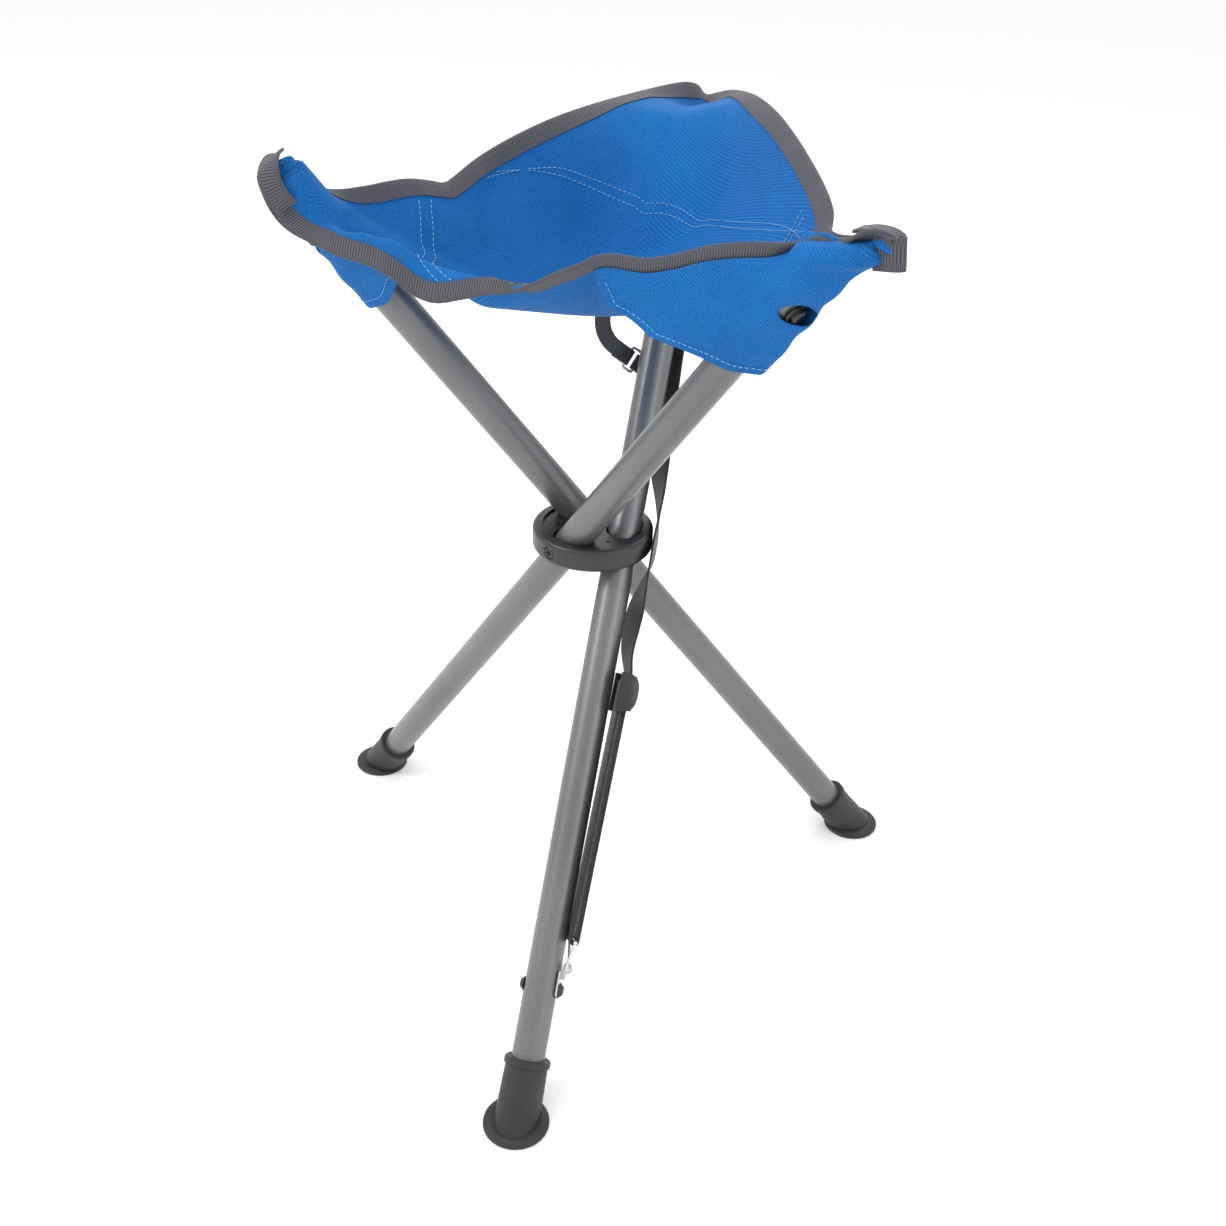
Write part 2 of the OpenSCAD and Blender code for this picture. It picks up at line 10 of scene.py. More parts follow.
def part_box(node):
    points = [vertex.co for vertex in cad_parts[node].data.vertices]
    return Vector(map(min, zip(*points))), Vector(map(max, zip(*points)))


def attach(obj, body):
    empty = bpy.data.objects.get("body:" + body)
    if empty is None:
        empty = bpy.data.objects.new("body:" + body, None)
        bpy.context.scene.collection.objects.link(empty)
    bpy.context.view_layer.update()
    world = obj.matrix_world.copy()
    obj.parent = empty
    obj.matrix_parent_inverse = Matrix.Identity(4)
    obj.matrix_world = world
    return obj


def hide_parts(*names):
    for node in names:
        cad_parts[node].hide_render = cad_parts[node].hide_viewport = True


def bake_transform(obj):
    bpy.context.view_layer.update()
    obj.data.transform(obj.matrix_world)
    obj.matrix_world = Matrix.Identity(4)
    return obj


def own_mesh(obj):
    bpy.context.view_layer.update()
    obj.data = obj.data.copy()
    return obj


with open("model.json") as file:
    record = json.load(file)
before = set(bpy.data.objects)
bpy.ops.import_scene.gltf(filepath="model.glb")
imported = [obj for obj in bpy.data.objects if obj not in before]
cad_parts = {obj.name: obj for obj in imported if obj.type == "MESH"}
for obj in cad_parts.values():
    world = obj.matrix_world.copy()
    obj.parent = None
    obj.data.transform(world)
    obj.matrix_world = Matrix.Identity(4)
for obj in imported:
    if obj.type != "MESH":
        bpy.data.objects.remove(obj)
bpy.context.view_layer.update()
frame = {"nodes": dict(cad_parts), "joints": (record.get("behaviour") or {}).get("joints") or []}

# ---------------------------------------------------------------- places

MM = 0.001
LEGS = (1, 2, 3)
TILT = math.radians(37)
TUBE_R = 0.011

hub_low, hub_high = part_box("hub")
HUB = (hub_low + hub_high) / 2

# Frame of each leg: x out along its pivot screw, y away from the seat, z up the leg
LEG = {}
for k in LEGS:
    joint = next(j for j in frame["joints"] if j["name"] == f"leg_{k}_fold")
    screw = Vector(joint["axis"]).normalized()
    turned = Matrix.Rotation(math.atan2(screw.y, screw.x), 4, "Z")
    LEG[k] = Matrix.Translation(joint["pos_m"]) @ turned @ Matrix.Rotation(-TILT, 4, "X")


def beside(k):
    """The corners before and after corner k, going round the seat."""
    return (k + 1) % 3 + 1, k % 3 + 1


def on_leg(k, point_mm):
    """A point in leg k's frame, in millimetres, as a place in the model."""
    return LEG[k] @ (Vector(point_mm[:3]) * MM)


def into_leg(k, points):
    """Places in the model as points in leg k's frame, in metres."""
    turn = np.array(LEG[k].inverted())
    return points @ turn[:3, :3].T + turn[:3, 3]


def out_of_leg(k, points):
    """Points in leg k's frame, in metres, as places in the model."""
    turn = np.array(LEG[k])
    return points @ turn[:3, :3].T + turn[:3, 3]


# ---------------------------------------------------------------- camera, light and floor

scene = bpy.context.scene
camera_place = Vector((0.2341, -0.7921, 0.7635))
camera_target = Vector((0.0317, 0.0100, 0.2637))
CAMERA_ROLL = math.radians(1.84)

bpy.ops.object.camera_add(location=camera_place)
camera = bpy.context.object
camera.name = "camera"
aim = (camera_target - camera_place).to_track_quat("-Z", "Y")
camera.rotation_mode = "QUATERNION"
camera.rotation_quaternion = aim @ Quaternion((0, 0, 1), CAMERA_ROLL)
camera.data.lens = 42.0
camera.data.sensor_width = 36.0
camera.data.clip_end = 100
scene.camera = camera


def soft_light(name, place, target, width, power, tint=(1, 1, 1)):
    """A square studio lamp at place, facing target."""
    bpy.ops.object.light_add(type="AREA", location=place)
    lamp = bpy.context.object
    lamp.name = name
    lamp.rotation_mode = "QUATERNION"
    lamp.rotation_quaternion = (Vector(target) - Vector(place)).to_track_quat("-Z", "Y")
    lamp.data.size = width
    lamp.data.energy = power
    lamp.data.color = tint


SEAT_MIDDLE = (HUB.x, HUB.y, 0.42)
soft_light("left_lamp", (-1.5, -0.9, 1.7), SEAT_MIDDLE, 0.9, 20)
soft_light("right_lamp", (1.9, -0.8, 1.2), SEAT_MIDDLE, 1.2, 9)
soft_light("back_lamp", (0.2, 1.9, 1.7), SEAT_MIDDLE, 1.2, 12)
soft_light("top_lamp", (-0.2, -0.1, 2.3), SEAT_MIDDLE, 1.4, 9)

world = bpy.data.worlds.new("studio")
scene.world = world
world.use_nodes = True
world.node_tree.nodes["Background"].inputs["Color"].default_value = (1, 1, 1, 1)
world.node_tree.nodes["Background"].inputs["Strength"].default_value = 1.0
scene.view_settings.view_transform = "Standard"

# ---------------------------------------------------------------- finishes


class Value:
    """An output of a finish's nodes. Arithmetic on it adds Math nodes."""

    def __init__(self, finish, socket):
        self.finish, self.socket = finish, socket

    def math(self, operation, *values):
        return self.finish.node("Math", *values, operation=operation)

    def __add__(self, other):
        return self.math("ADD", self, other)

    def __sub__(self, other):
        return self.math("SUBTRACT", self, other)

    def __rsub__(self, other):
        return self.math("SUBTRACT", other, self)

    def __mul__(self, other):
        return self.math("MULTIPLY", self, other)

    def __truediv__(self, other):
        return self.math("DIVIDE", self, other)

    def __pow__(self, other):
        return self.math("POWER", self, other)

    __radd__ = __add__
    __rmul__ = __mul__

    def smooth(self, low, high):
        """0 below low, 1 above high, and a smooth rise between them."""
        return self.finish.node("MapRange", self, low, high, 0, 1, interpolation_type="SMOOTHSTEP")

    def wave(self):
        return self.math("SINE", self)

    def size(self):
        return self.math("ABSOLUTE", self)

    def part(self):
        return self.math("FRACT", self)

    def whole(self):
        return self.math("FLOOR", self)


class Finish:
    """One surface finish: a Principled shader and the nodes that feed it."""

    def __init__(self, name, **constants):
        self.material = bpy.data.materials.new(name)
        self.material.use_nodes = True
        self.tree = self.material.node_tree
        self.shader = self.tree.nodes["Principled BSDF"]
        for key, value in constants.items():
            self.shader.inputs[key.replace("_", " ")].default_value = value

    def node(self, kind, *inputs, out=0, **settings):
        """Adds a node of that kind, with its settings, then its inputs in order. Returns output out."""
        node = self.tree.nodes.new("ShaderNode" + kind)
        for key, value in settings.items():
            setattr(node, key, value)
        for slot, value in enumerate(inputs):
            self.feed(node.inputs[slot], value)
        return Value(self, node.outputs[out])

    def feed(self, socket, value):
        if isinstance(value, Value):
            self.tree.links.new(value.socket, socket)
        elif value is not None:
            if hasattr(value, "__len__") and socket.type == "RGBA" and len(value) == 3:
                value = (*value, 1)
            socket.default_value = value

    def place(self):
        """The place in the model, in metres."""
        return self.node("TexCoord", out=3)

    def cut(self):
        """The piece's own flat measure, across and along, in metres."""
        flat = self.node("UVMap", uv_map="flat")
        return [self.node("SeparateXYZ", flat, out=i) for i in range(2)]

    def noise(self, where, scale, detail=3.0, rough=0.5):
        return self.node("TexNoise", where, None, scale, detail, rough)

    def mix(self, share, first, second):
        node = self.tree.nodes.new("ShaderNodeMix")
        node.data_type = "RGBA"
        for slot, value in ((0, share), (6, first), (7, second)):
            self.feed(node.inputs[slot], value)
        return Value(self, node.outputs[2])

    def dents(self, height, distance, strength=1.0):
        """Bumps of that height field, with its full range distance metres deep."""
        return self.node("Bump", strength, distance, None, height)

    def give(self, **values):
        for key, value in values.items():
            self.feed(self.shader.inputs[key.replace("_", " ")], value)
        return self.material


def weave(across, along, pitch):
    """Plain weave: height of the crossing threads, and which of them is on top."""
    u, v = across / pitch, along / pitch
    odd = ((u.whole() + v.whole()) * 0.5).part() * 2
    warp = (u.part() * math.pi).wave()
    weft = (v.part() * math.pi).wave()
    height = odd * (warp * (0.55 + 0.45 * weft)) + (1 - odd) * (weft * (0.55 + 0.45 * warp))
    return height, odd


def cloth_finish():
    """Blue oxford cloth with a fine basket of lighter threads, and painted shade in the hollows between the
    threads.
    """
    f = Finish("seat_cloth", Sheen_Weight=0.03, Sheen_Roughness=0.4, Specular_IOR_Level=0.2)
    f.shader.inputs["Sheen Tint"].default_value = (0.75, 0.88, 1.0, 1)
    across, along = f.cut()
    height, odd = weave(across, along, 0.00135)
    where = f.place()
    slubs = f.noise(where, 900.0, 2.0)
    broad = f.noise(where, 16.0, 3.0)
    worn = f.noise(where, 55.0, 4.0, 0.6)
    base = f.mix(broad.smooth(0.3, 0.7), (0.001, 0.112, 0.385), (0.001, 0.138, 0.455))
    dots = (height ** 3.0) * slubs.smooth(0.3, 0.75)
    threads = f.mix(dots * 0.5, base, (0.05, 0.34, 0.68))
    # Painted shade: the colour darkens where the weave's threads dip, in the hollows between them.
    painted_weave_shade = f.mix((1 - height) * 0.6, threads, (0.001, 0.052, 0.205))
    faded = f.mix(worn.smooth(0.52, 0.78) * 0.12, painted_weave_shade, (0.02, 0.25, 0.52))
    rough = 0.62 + 0.14 * odd + worn * 0.1
    normal = f.dents(height + slubs * 0.25, 0.00028, 0.8)
    return f.give(Base_Color=faded, Roughness=rough, Normal=normal)


def ribbed(name, dark, light, pitch, rim, depth, rough, half_width):
    """Narrow webbing: ribs across it, with a firmer woven rim along each side. Painted shade darkens the
    hollows of the ribs and painted highlight lightens their tops.
    """
    f = Finish(name, Sheen_Weight=0.1, Sheen_Roughness=0.5, Specular_IOR_Level=0.4)
    across, along = f.cut()
    where = f.place()
    slubs = f.noise(where, 1400.0, 2.0)
    dust = f.noise(where, 40.0, 3.0)
    side = across.size()
    at_rim = side.smooth(half_width - rim, half_width - rim * 0.6)
    ribs = (along / pitch * math.pi).wave().size()
    cords = (across / (pitch * 0.9) * math.pi).wave().size()
    fine = (along / (pitch * 0.5) * math.pi).wave().size()
    body = ribs * (0.72 + 0.28 * cords)
    height = body * (1 - at_rim) + fine * at_rim
    # Painted shade and painted highlight: the colour goes from dark in the hollows of the ribs to light on
    # their tops.
    tone = f.mix(height.smooth(0.1, 0.95) * (0.65 + 0.35 * slubs), dark, light)
    aged = f.mix(dust.smooth(0.5, 0.8) * 0.25, tone, light)
    normal = f.dents(height + slubs * 0.15, depth, 0.9)
    return f.give(Base_Color=aged, Roughness=rough + slubs * 0.12, Normal=normal)


def paint_finish():
    """Grey powder coat with a fine darker and lighter speckle."""
    f = Finish("leg_paint", Specular_IOR_Level=0.55, Coat_Roughness=0.22)
    where = f.place()
    grain = f.noise(where, 1900.0, 2.0, 0.6)
    fleck = f.noise(where, 1150.0, 1.0)
    cloud = f.noise(where, 9.0, 2.0)
    scuff = f.noise(where, 70.0, 5.0, 0.65)
    base = f.mix(cloud.smooth(0.3, 0.7), (0.13, 0.133, 0.138), (0.167, 0.171, 0.176))
    specked = f.mix(fleck.smooth(0.54, 0.70) * 0.30, base, (0.266, 0.274, 0.281))
    dark = f.mix(grain.smooth(0.52, 0.74) * 0.35, specked, (0.0592, 0.0614, 0.0651))
    worn = f.mix(scuff.smooth(0.70, 0.82) * 0.25, dark, (0.244, 0.244, 0.244))
    rough = 0.33 + grain * 0.14 + scuff.smooth(0.5, 0.8) * 0.08
    return f.give(Base_Color=worn, Roughness=rough, Metallic=0.5 + fleck * 0.2, Coat_Weight=0.25,
                  Normal=f.dents(grain + fleck * 0.5, 0.00004, 0.5))


def moulded(name, dark, light, rough, grain_size, depth, level):
    """Moulded plastic or rubber with a fine grain and slightly polished high spots."""
    f = Finish(name, Specular_IOR_Level=level)
    where = f.place()
    grain = f.noise(where, grain_size, 3.0, 0.55)
    cloud = f.noise(where, 30.0, 3.0)
    scuff = f.noise(where, 160.0, 5.0, 0.7)
    base = f.mix(cloud.smooth(0.25, 0.75), dark, light)
    marked = f.mix(scuff.smooth(0.6, 0.78) * 0.35, base, tuple(min(1, 1.9 * c + 0.01) for c in light))
    return f.give(Base_Color=marked, Roughness=rough + grain * 0.14 - cloud.smooth(0.55, 0.8) * 0.06,
                  Normal=f.dents(grain, depth, 0.5))


def metal(name, colour, rough, metallic):
    """Plated or blackened steel with fine handling marks."""
    f = Finish(name)
    where = f.place()
    grain = f.noise(where, 900.0, 3.0, 0.6)
    marks = f.noise(where, 180.0, 5.0, 0.7)
    tone = f.mix(marks.smooth(0.45, 0.8) * 0.5, colour, tuple(0.55 * c for c in colour))
    return f.give(Base_Color=tone, Metallic=metallic, Roughness=rough + marks * 0.16,
                  Normal=f.dents(grain, 0.00003, 0.4))


STRAP_W = 0.024
CLOSURE_W = 0.011
TAPE_W = 0.0105

seat_cloth = cloth_finish()
edge_binding = ribbed("edge_binding", (0.018, 0.018, 0.024), (0.110, 0.108, 0.132),
                      pitch=0.00165, rim=0.0012, depth=0.00035, rough=0.62, half_width=TAPE_W / 2)
webbing = ribbed("webbing", (0.0036, 0.0036, 0.0048), (0.024, 0.024, 0.0276),
                 pitch=0.0019, rim=0.0032, depth=0.00035, rough=0.50, half_width=STRAP_W / 2)
narrow_webbing = ribbed("narrow_webbing", (0.0072, 0.0078, 0.012), (0.039, 0.0408, 0.0528),
                        pitch=0.0017, rim=0.002, depth=0.0003, rough=0.55, half_width=CLOSURE_W / 2)
leg_paint = paint_finish()
hub_plastic = moulded("hub_plastic", (0.010, 0.010, 0.011), (0.022, 0.022, 0.024),
                      rough=0.30, grain_size=1300.0, depth=0.00006, level=0.55)
slider_plastic = moulded("slider_plastic", (0.008, 0.008, 0.009), (0.018, 0.018, 0.020),
                         rough=0.24, grain_size=900.0, depth=0.00004, level=0.6)
plug_plastic = moulded("plug_plastic", (0.010, 0.010, 0.010), (0.020, 0.020, 0.021),
                       rough=0.42, grain_size=900.0, depth=0.00005, level=0.5)
foot_rubber = moulded("foot_rubber", (0.0135, 0.0144, 0.01575), (0.0234, 0.02475, 0.02655),
                      rough=0.46, grain_size=700.0, depth=0.00009, level=0.42)
screw_steel = metal("screw_steel", (0.055, 0.055, 0.060), rough=0.34, metallic=0.8)
hook_steel = metal("hook_steel", (0.62, 0.63, 0.64), rough=0.18, metallic=1.0)


def thread_finish(name, colour):
    """Sewing thread, twisted."""
    f = Finish(name, Sheen_Weight=0.2)
    where = f.place()
    twist = f.noise(where, 2600.0, 1.0)
    tone = f.mix(twist.smooth(0.3, 0.7), tuple(0.7 * c for c in colour), colour)
    return f.give(Base_Color=tone, Roughness=0.55 + twist * 0.1, Normal=f.dents(twist, 0.0001, 0.6))


seam_thread = thread_finish("seam_thread", (0.20, 0.46, 0.78))


def floor_finish():
    f = Finish("floor_paper", Specular_IOR_Level=0.1)
    fibre = f.noise(f.place(), 60.0, 4.0)
    tone = f.mix(fibre, (0.93, 0.93, 0.93), (0.96, 0.96, 0.96))
    return f.give(Base_Color=tone, Roughness=0.9 + fibre * 0.05)


bpy.ops.object.select_all(action="DESELECT")
bpy.ops.mesh.primitive_circle_add(vertices=96, radius=30, fill_type="NGON", location=(0, 0, 0))
floor = bpy.context.object
floor.name = "floor"
floor.data.materials.append(floor_finish())

NODE_FINISH = {
    "hub": hub_plastic, "pivot_screw": screw_steel,
    "tube": leg_paint, "end_plug": plug_plastic, "foot": foot_rubber,
    "seat_screw": screw_steel, "seat_washer": slider_plastic, "seat_nut": screw_steel,
    "seat_panel": seat_cloth, "pocket": seat_cloth, "edge_tape": edge_binding,
    "shoulder_strap": webbing, "closure_strap": narrow_webbing, "closure_tail": narrow_webbing,
    "strap_hook": hook_steel, "hook_plate": hook_steel, "closure_ring": hook_steel,
    "strap_rivet": screw_steel, "strap_slider": slider_plastic,
}
for name, node in frame["nodes"].items():
    kind = name[:-2] if name[-2:] in ("_1", "_2", "_3") else name
    node.data.materials.clear()
    node.data.materials.append(NODE_FINISH[kind])

# ---------------------------------------------------------------- making pieces


def deselect():
    bpy.ops.object.select_all(action="DESELECT")


def pick(piece):
    """Makes the piece the only one that is selected."""
    deselect()
    piece.select_set(True)
    bpy.context.view_layer.objects.active = piece


def apply_modifiers(piece):
    pick(piece)
    for modifier in list(piece.modifiers):
        bpy.ops.object.modifier_apply(modifier=modifier.name)


def soft_shade(piece, angle):
    pick(piece)
    bpy.ops.object.shade_smooth_by_angle(angle=math.radians(angle))


def smooth_all(piece):
    for polygon in piece.data.polygons:
        polygon.use_smooth = True


def recalculate(piece):
    """Turns the piece's faces outwards."""
    bm = bmesh.new()
    bm.from_mesh(piece.data)
    bmesh.ops.recalc_face_normals(bm, faces=bm.faces)
    bm.to_mesh(piece.data)
    bm.free()


def unit(v):
    return v / max(np.linalg.norm(v), 1e-9)


def running(points):
    """Length of the way from the first point to each."""
    return np.concatenate([[0], np.cumsum(np.linalg.norm(np.diff(points, axis=0), axis=1))])


def piece_from(name, points, faces, finish, flat=None):
    """A piece made from its points. flat gives each point's place on the cut, in metres."""
    mesh = bpy.data.meshes.new(name)
    mesh.from_pydata([tuple(p) for p in points], [], faces)
    if flat is not None:
        layer = mesh.uv_layers.new(name="flat")
        for loop in mesh.loops:
            layer.data[loop.index].uv = flat[loop.vertex_index]
    mesh.materials.append(finish)
    piece = bpy.data.objects.new(name, mesh)
    scene.collection.objects.link(piece)
    mesh.update()
    return piece


def grid_faces(rows, columns, closed=False):
    """Faces of a grid of points, row by row. A closed one joins its last column to its first."""
    faces = []
    for i in range(rows - 1):
        for j in range(columns if closed else columns - 1):
            j2 = (j + 1) % columns
            faces.append((i * columns + j, i * columns + j2, (i + 1) * columns + j2, (i + 1) * columns + j))
    return faces


def smooth_route(points, step):
    """Catmull-Rom curve through rows whose first three numbers are the place, with points every step."""
    p = np.array(points, float)
    p = np.vstack([2 * p[0] - p[1], p, 2 * p[-1] - p[-2]])
    fine = []
    for i in range(1, len(p) - 2):
        gaps = [max(np.linalg.norm(p[i + j + 1][:3] - p[i + j][:3]), 1e-6) ** 0.5 for j in (-1, 0, 1)]
        t0, t1, t2, t3 = 0, gaps[0], gaps[0] + gaps[1], sum(gaps)
        for s in np.linspace(0, 1, 24, endpoint=False):
            t = t1 + s * (t2 - t1)
            a1 = (t1 - t) / (t1 - t0) * p[i - 1] + (t - t0) / (t1 - t0) * p[i]
            a2 = (t2 - t) / (t2 - t1) * p[i] + (t - t1) / (t2 - t1) * p[i + 1]
            a3 = (t3 - t) / (t3 - t2) * p[i + 1] + (t - t2) / (t3 - t2) * p[i + 2]
            b1 = (t2 - t) / (t2 - t0) * a1 + (t - t0) / (t2 - t0) * a2
            b2 = (t3 - t) / (t3 - t1) * a2 + (t - t1) / (t3 - t1) * a3
            fine.append((t2 - t) / (t2 - t1) * b1 + (t - t1) / (t2 - t1) * b2)
    fine.append(p[-2])
    return even_route(np.array(fine), step)


def even_route(fine, step):
    """The same route with its points the same distance apart, close to step."""
    lengths = running(fine[:, :3])
    count = max(2, int(round(lengths[-1] / step)) + 1)
    at = np.linspace(0, lengths[-1], count)
    return np.stack([np.interp(at, lengths, fine[:, i]) for i in range(fine.shape[1])], axis=1)


def route_length(route):
    return float(np.linalg.norm(np.diff(np.asarray(route)[:, :3], axis=0), axis=1).sum())


# ---------------------------------------------------------------- the seat's outline

# Heights and places of the taped edges. Each row: share of the straight line from corner to corner,
# how far the edge bows in, height above the ground, in millimetres.
CORNER_MM = {1: (21.0, 186.6), 2: (-172.1, -75.1), 3: (151.1, -111.5)}
EDGE_1_2 = [
    (0.010, 1, 564), (0.035, 5, 569), (0.08, 9, 572.5), (0.17, 10, 571.5), (0.30, 10, 567.5),
    (0.42, 10, 561.5), (0.53, 10, 552), (0.60, 10, 543.5), (0.65, 10, 535), (0.67, 10, 532.5),
    (0.70, 10, 535), (0.75, 10, 538.5), (0.79, 9, 538.5), (0.83, 6, 537),
]
EDGE_2_3 = [
    (-0.022, -5, 551), (-0.006, -9, 541), (0.016, -10, 530), (0.045, -10, 523), (0.090, -8, 517),
    (0.130, -6, 512), (0.185, -3, 508), (0.226, -1, 502), (0.262, 1, 493.5), (0.300, 3, 490),
    (0.347, 5, 493.5), (0.400, 7, 498.5), (0.445, 9, 501), (0.484, 10, 507), (0.528, 10, 515.5),
    (0.568, 10, 521.5), (0.595, 10, 527), (0.630, 10, 529.5), (0.683, 10, 529.5), (0.741, 9, 535),
    (0.797, 7, 542.5), (0.870, 5, 548), (0.925, 3, 550.5), (0.962, 2, 554.5), (0.985, 1, 556),
    (1.004, 0, 553), (1.022, -3, 557.5), (1.055, -4, 565), (1.085, -3, 564),
]
EDGE_3_1 = [
    (0.110, -9, 553), (0.140, -12, 558), (0.180, -12, 564), (0.275, -12, 571), (0.395, -12, 577),
    (0.520, -12, 580.5), (0.670, -12, 580), (0.780, -11, 576.5), (0.870, -10, 571.5),
    (0.940, -8, 566), (0.985, -4, 561),
]
# In the frame of the leg, in millimetres: the tips of the corners, and where the far edges go down behind
# the legs
CORNER_TIP = {1: (1, 2.5, 311), 2: (2, 3, 311), 3: (-13, 23, 329)}
BEHIND_LEG_2 = [(15.8, -12, 274), (14.2, -3, 288), (10, 3, 301)]
BEHIND_LEG_3 = [(-14, 14, 323), (-15, 4, 311), (-17, -5, 301), (-22, -12, 295)]


def edge_route(first, second, rows, start=(), end=()):
    """Taped edge from one corner's tip to the next, with its ends given in the frames of their legs."""
    a, b = (np.array(CORNER_MM[c]) for c in (first, second))
    along = (b - a) / np.linalg.norm(b - a)
    inward = np.array([-along[1], along[0]])
    shift = np.array([HUB.x, HUB.y, 0.0])
    middle = [np.array([*(a + (b - a) * w + inward * bow), z]) * MM + shift for w, bow, z in rows]
    first_rows = [on_leg(first, p) for p in (CORNER_TIP[first], *start)]
    last_rows = [on_leg(second, p) for p in (*end, CORNER_TIP[second])]
    return smooth_route([tuple(p) for p in (*first_rows, *middle, *last_rows)], 0.002)


ROUTES = {
    (1, 2): edge_route(1, 2, EDGE_1_2, end=BEHIND_LEG_2),
    (2, 3): edge_route(2, 3, EDGE_2_3),
    (3, 1): edge_route(3, 1, EDGE_3_1, start=BEHIND_LEG_3),
}
TIP = {k: np.array(on_leg(k, CORNER_TIP[k])) for k in LEGS}

# Flat cut: a triangle whose sides are as long as the taped edges
SIDE = {pair: route_length(route) for pair, route in ROUTES.items()}
CUT = {1: np.array([0.0, 0.0]), 2: np.array([SIDE[(1, 2)], 0.0])}
third_u = (SIDE[(1, 2)] ** 2 + SIDE[(3, 1)] ** 2 - SIDE[(2, 3)] ** 2) / (2 * SIDE[(1, 2)])
CUT[3] = np.array([third_u, math.sqrt(SIDE[(3, 1)] ** 2 - third_u ** 2)])

ROWS = 84


def slot_of(i, j):
    """Number of the cloth's grid point with i steps towards corner 2 and j towards corner 3."""
    return j * (ROWS + 1) - j * (j - 1) // 2 + i


grid = [(i, j) for j in range(ROWS + 1) for i in range(ROWS + 1 - j)]
SHARES = np.array([(1 - (i + j) / ROWS, i / ROWS, j / ROWS) for i, j in grid])
FLAT = SHARES @ np.array([CUT[1], CUT[2], CUT[3]])
triangles = []
for j in range(ROWS):
    for i in range(ROWS - j):
        triangles.append((slot_of(i, j), slot_of(i + 1, j), slot_of(i, j + 1)))
        if i + j < ROWS - 1:
            triangles.append((slot_of(i + 1, j), slot_of(i + 1, j + 1), slot_of(i, j + 1)))


def on_route(route, share):
    """Place on the route at that share of its length."""
    n = len(route) - 1
    return np.array([np.interp(share * n, np.arange(n + 1), route[:, i]) for i in range(3)])


# A share below this is none: the point lies on an edge
NO_SHARE = 1e-9


def boundary_place(shares):
    """Place of an outline point of the flat cut, or None for a point inside."""
    b1, b2, b3 = shares
    if b3 < NO_SHARE:
        return on_route(ROUTES[(1, 2)], b2)
    if b1 < NO_SHARE:
        return on_route(ROUTES[(2, 3)], b3)
    if b2 < NO_SHARE:
        return on_route(ROUTES[(3, 1)], b1)
    return None


# Lowest height of the cloth's first shape, and how round its bottom is
SEAT_LOW = 0.462
DISH_ROUND = 0.15
places = np.zeros((len(grid), 3))
held = np.zeros(len(grid), bool)
for n, shares in enumerate(SHARES):
    edge = boundary_place(shares)
    if edge is not None:
        places[n], held[n] = edge, True
        continue
    # A first shape to start from: each ray from the middle sinks towards the lowest point
    low = shares.min() * 3
    out = (shares - low / 3) / max(1 - low, 1e-6)
    out[np.argmin(shares)] = 0
    if out.sum() < 0.5:
        out = np.array([0.5, 0.5, 0.0])
    rim = boundary_place(out / out.sum())
    rho = 1 - low
    dish = math.sqrt(rho * rho + DISH_ROUND ** 2) - DISH_ROUND
    dish = dish / (math.sqrt(1 + DISH_ROUND ** 2) - DISH_ROUND)
    height = SEAT_LOW + (rim[2] - SEAT_LOW) * dish
    places[n] = [HUB.x + (rim[0] - HUB.x) * rho, HUB.y + (rim[1] - HUB.y) * rho, height]

# At each tip the cloth's middle line is laid on the end of the tube: height over the tube's axis, length that
# is laid, height up the leg where it meets the tube, in millimetres, and the bump over the nut further down
OVER_TUBE = TUBE_R + 0.0017
LAID = 0.020
MEETS_TUBE_MM = 297
NUT_Z, NUT_LIFT, NUT_SPREAD = 0.264, 0.0034, 0.0065
AREA = abs(np.cross(CUT[2] - CUT[1], CUT[3] - CUT[1])) / 2


def side_between(a, b):
    return SIDE.get((a, b)) or SIDE[(b, a)]


def over_nut(x, z):
    """How much higher the cloth lies over the nut of the seat screw."""
    return NUT_LIFT * np.exp(-(x ** 2 + (z - NUT_Z) ** 2) / NUT_SPREAD ** 2)


for k in LEGS:
    others = [c - 1 for c in LEGS if c != k]
    tip_mm = CORNER_TIP[k]
    for n, shares in enumerate(SHARES):
        reach = np.linalg.norm(FLAT[n] - CUT[k])
        if held[n] or reach > LAID or abs(shares[others[0]] - shares[others[1]]) > 0.6 / ROWS:
            continue
        z = tip_mm[2] * MM - reach
        over = min(1.0, reach / ((tip_mm[2] - MEETS_TUBE_MM) * MM))
        spot = np.array([tip_mm[0] * MM * (1 - over), tip_mm[1] * MM * (1 - over) - OVER_TUBE * over, z])
        spot[1] -= over_nut(spot[0], z)
        places[n], held[n] = out_of_leg(k, spot), True

# The front edge, by share from corner 2: how far the cloth rises from the tape to a lip, in metres, where it
# is pulled straight from the corner, and how steeply it hangs down inside the tape further on, in degrees
LIP_AT = (0.05, 0.12, 0.20, 0.27, 0.33, 0.40, 0.47, 0.50)
LIP_HEIGHT = (0.006, 0.014, 0.022, 0.027, 0.025, 0.016, 0.005, 0.0)
LIP_SLOPE = math.radians(66)
HANG_AT, HANG_DEGREES = (0.56, 0.66, 0.80, 0.90), (45, 95, 104, 75)
HANG_ROWS, LIP_ROWS = 3, 12
row_height = 2 * AREA / side_between(2, 3) / ROWS
front_inward = Vector((-(TIP[3] - TIP[2])[1], (TIP[3] - TIP[2])[0], 0)).normalized()
for n, shares in enumerate(SHARES):
    row = round(shares[0] * ROWS)
    if row == 0 or row > LIP_ROWS:
        continue
    along, inside = shares[2] / (shares[1] + shares[2]), row * row_height
    if LIP_AT[0] < along < LIP_AT[-1] and inside < np.interp(along, LIP_AT, LIP_HEIGHT):
        slope = -LIP_SLOPE
    elif HANG_AT[0] < along < HANG_AT[-1] and row <= HANG_ROWS:
        slope = math.radians(np.interp(along, HANG_AT, HANG_DEGREES))
    else:
        continue
    way = np.array(front_inward) * math.cos(slope) - np.array((0, 0, math.sin(slope)))
    places[n], held[n] = boundary_place((0, 1 - along, along)) + way * inside, True

SIM_FRAMES = 70


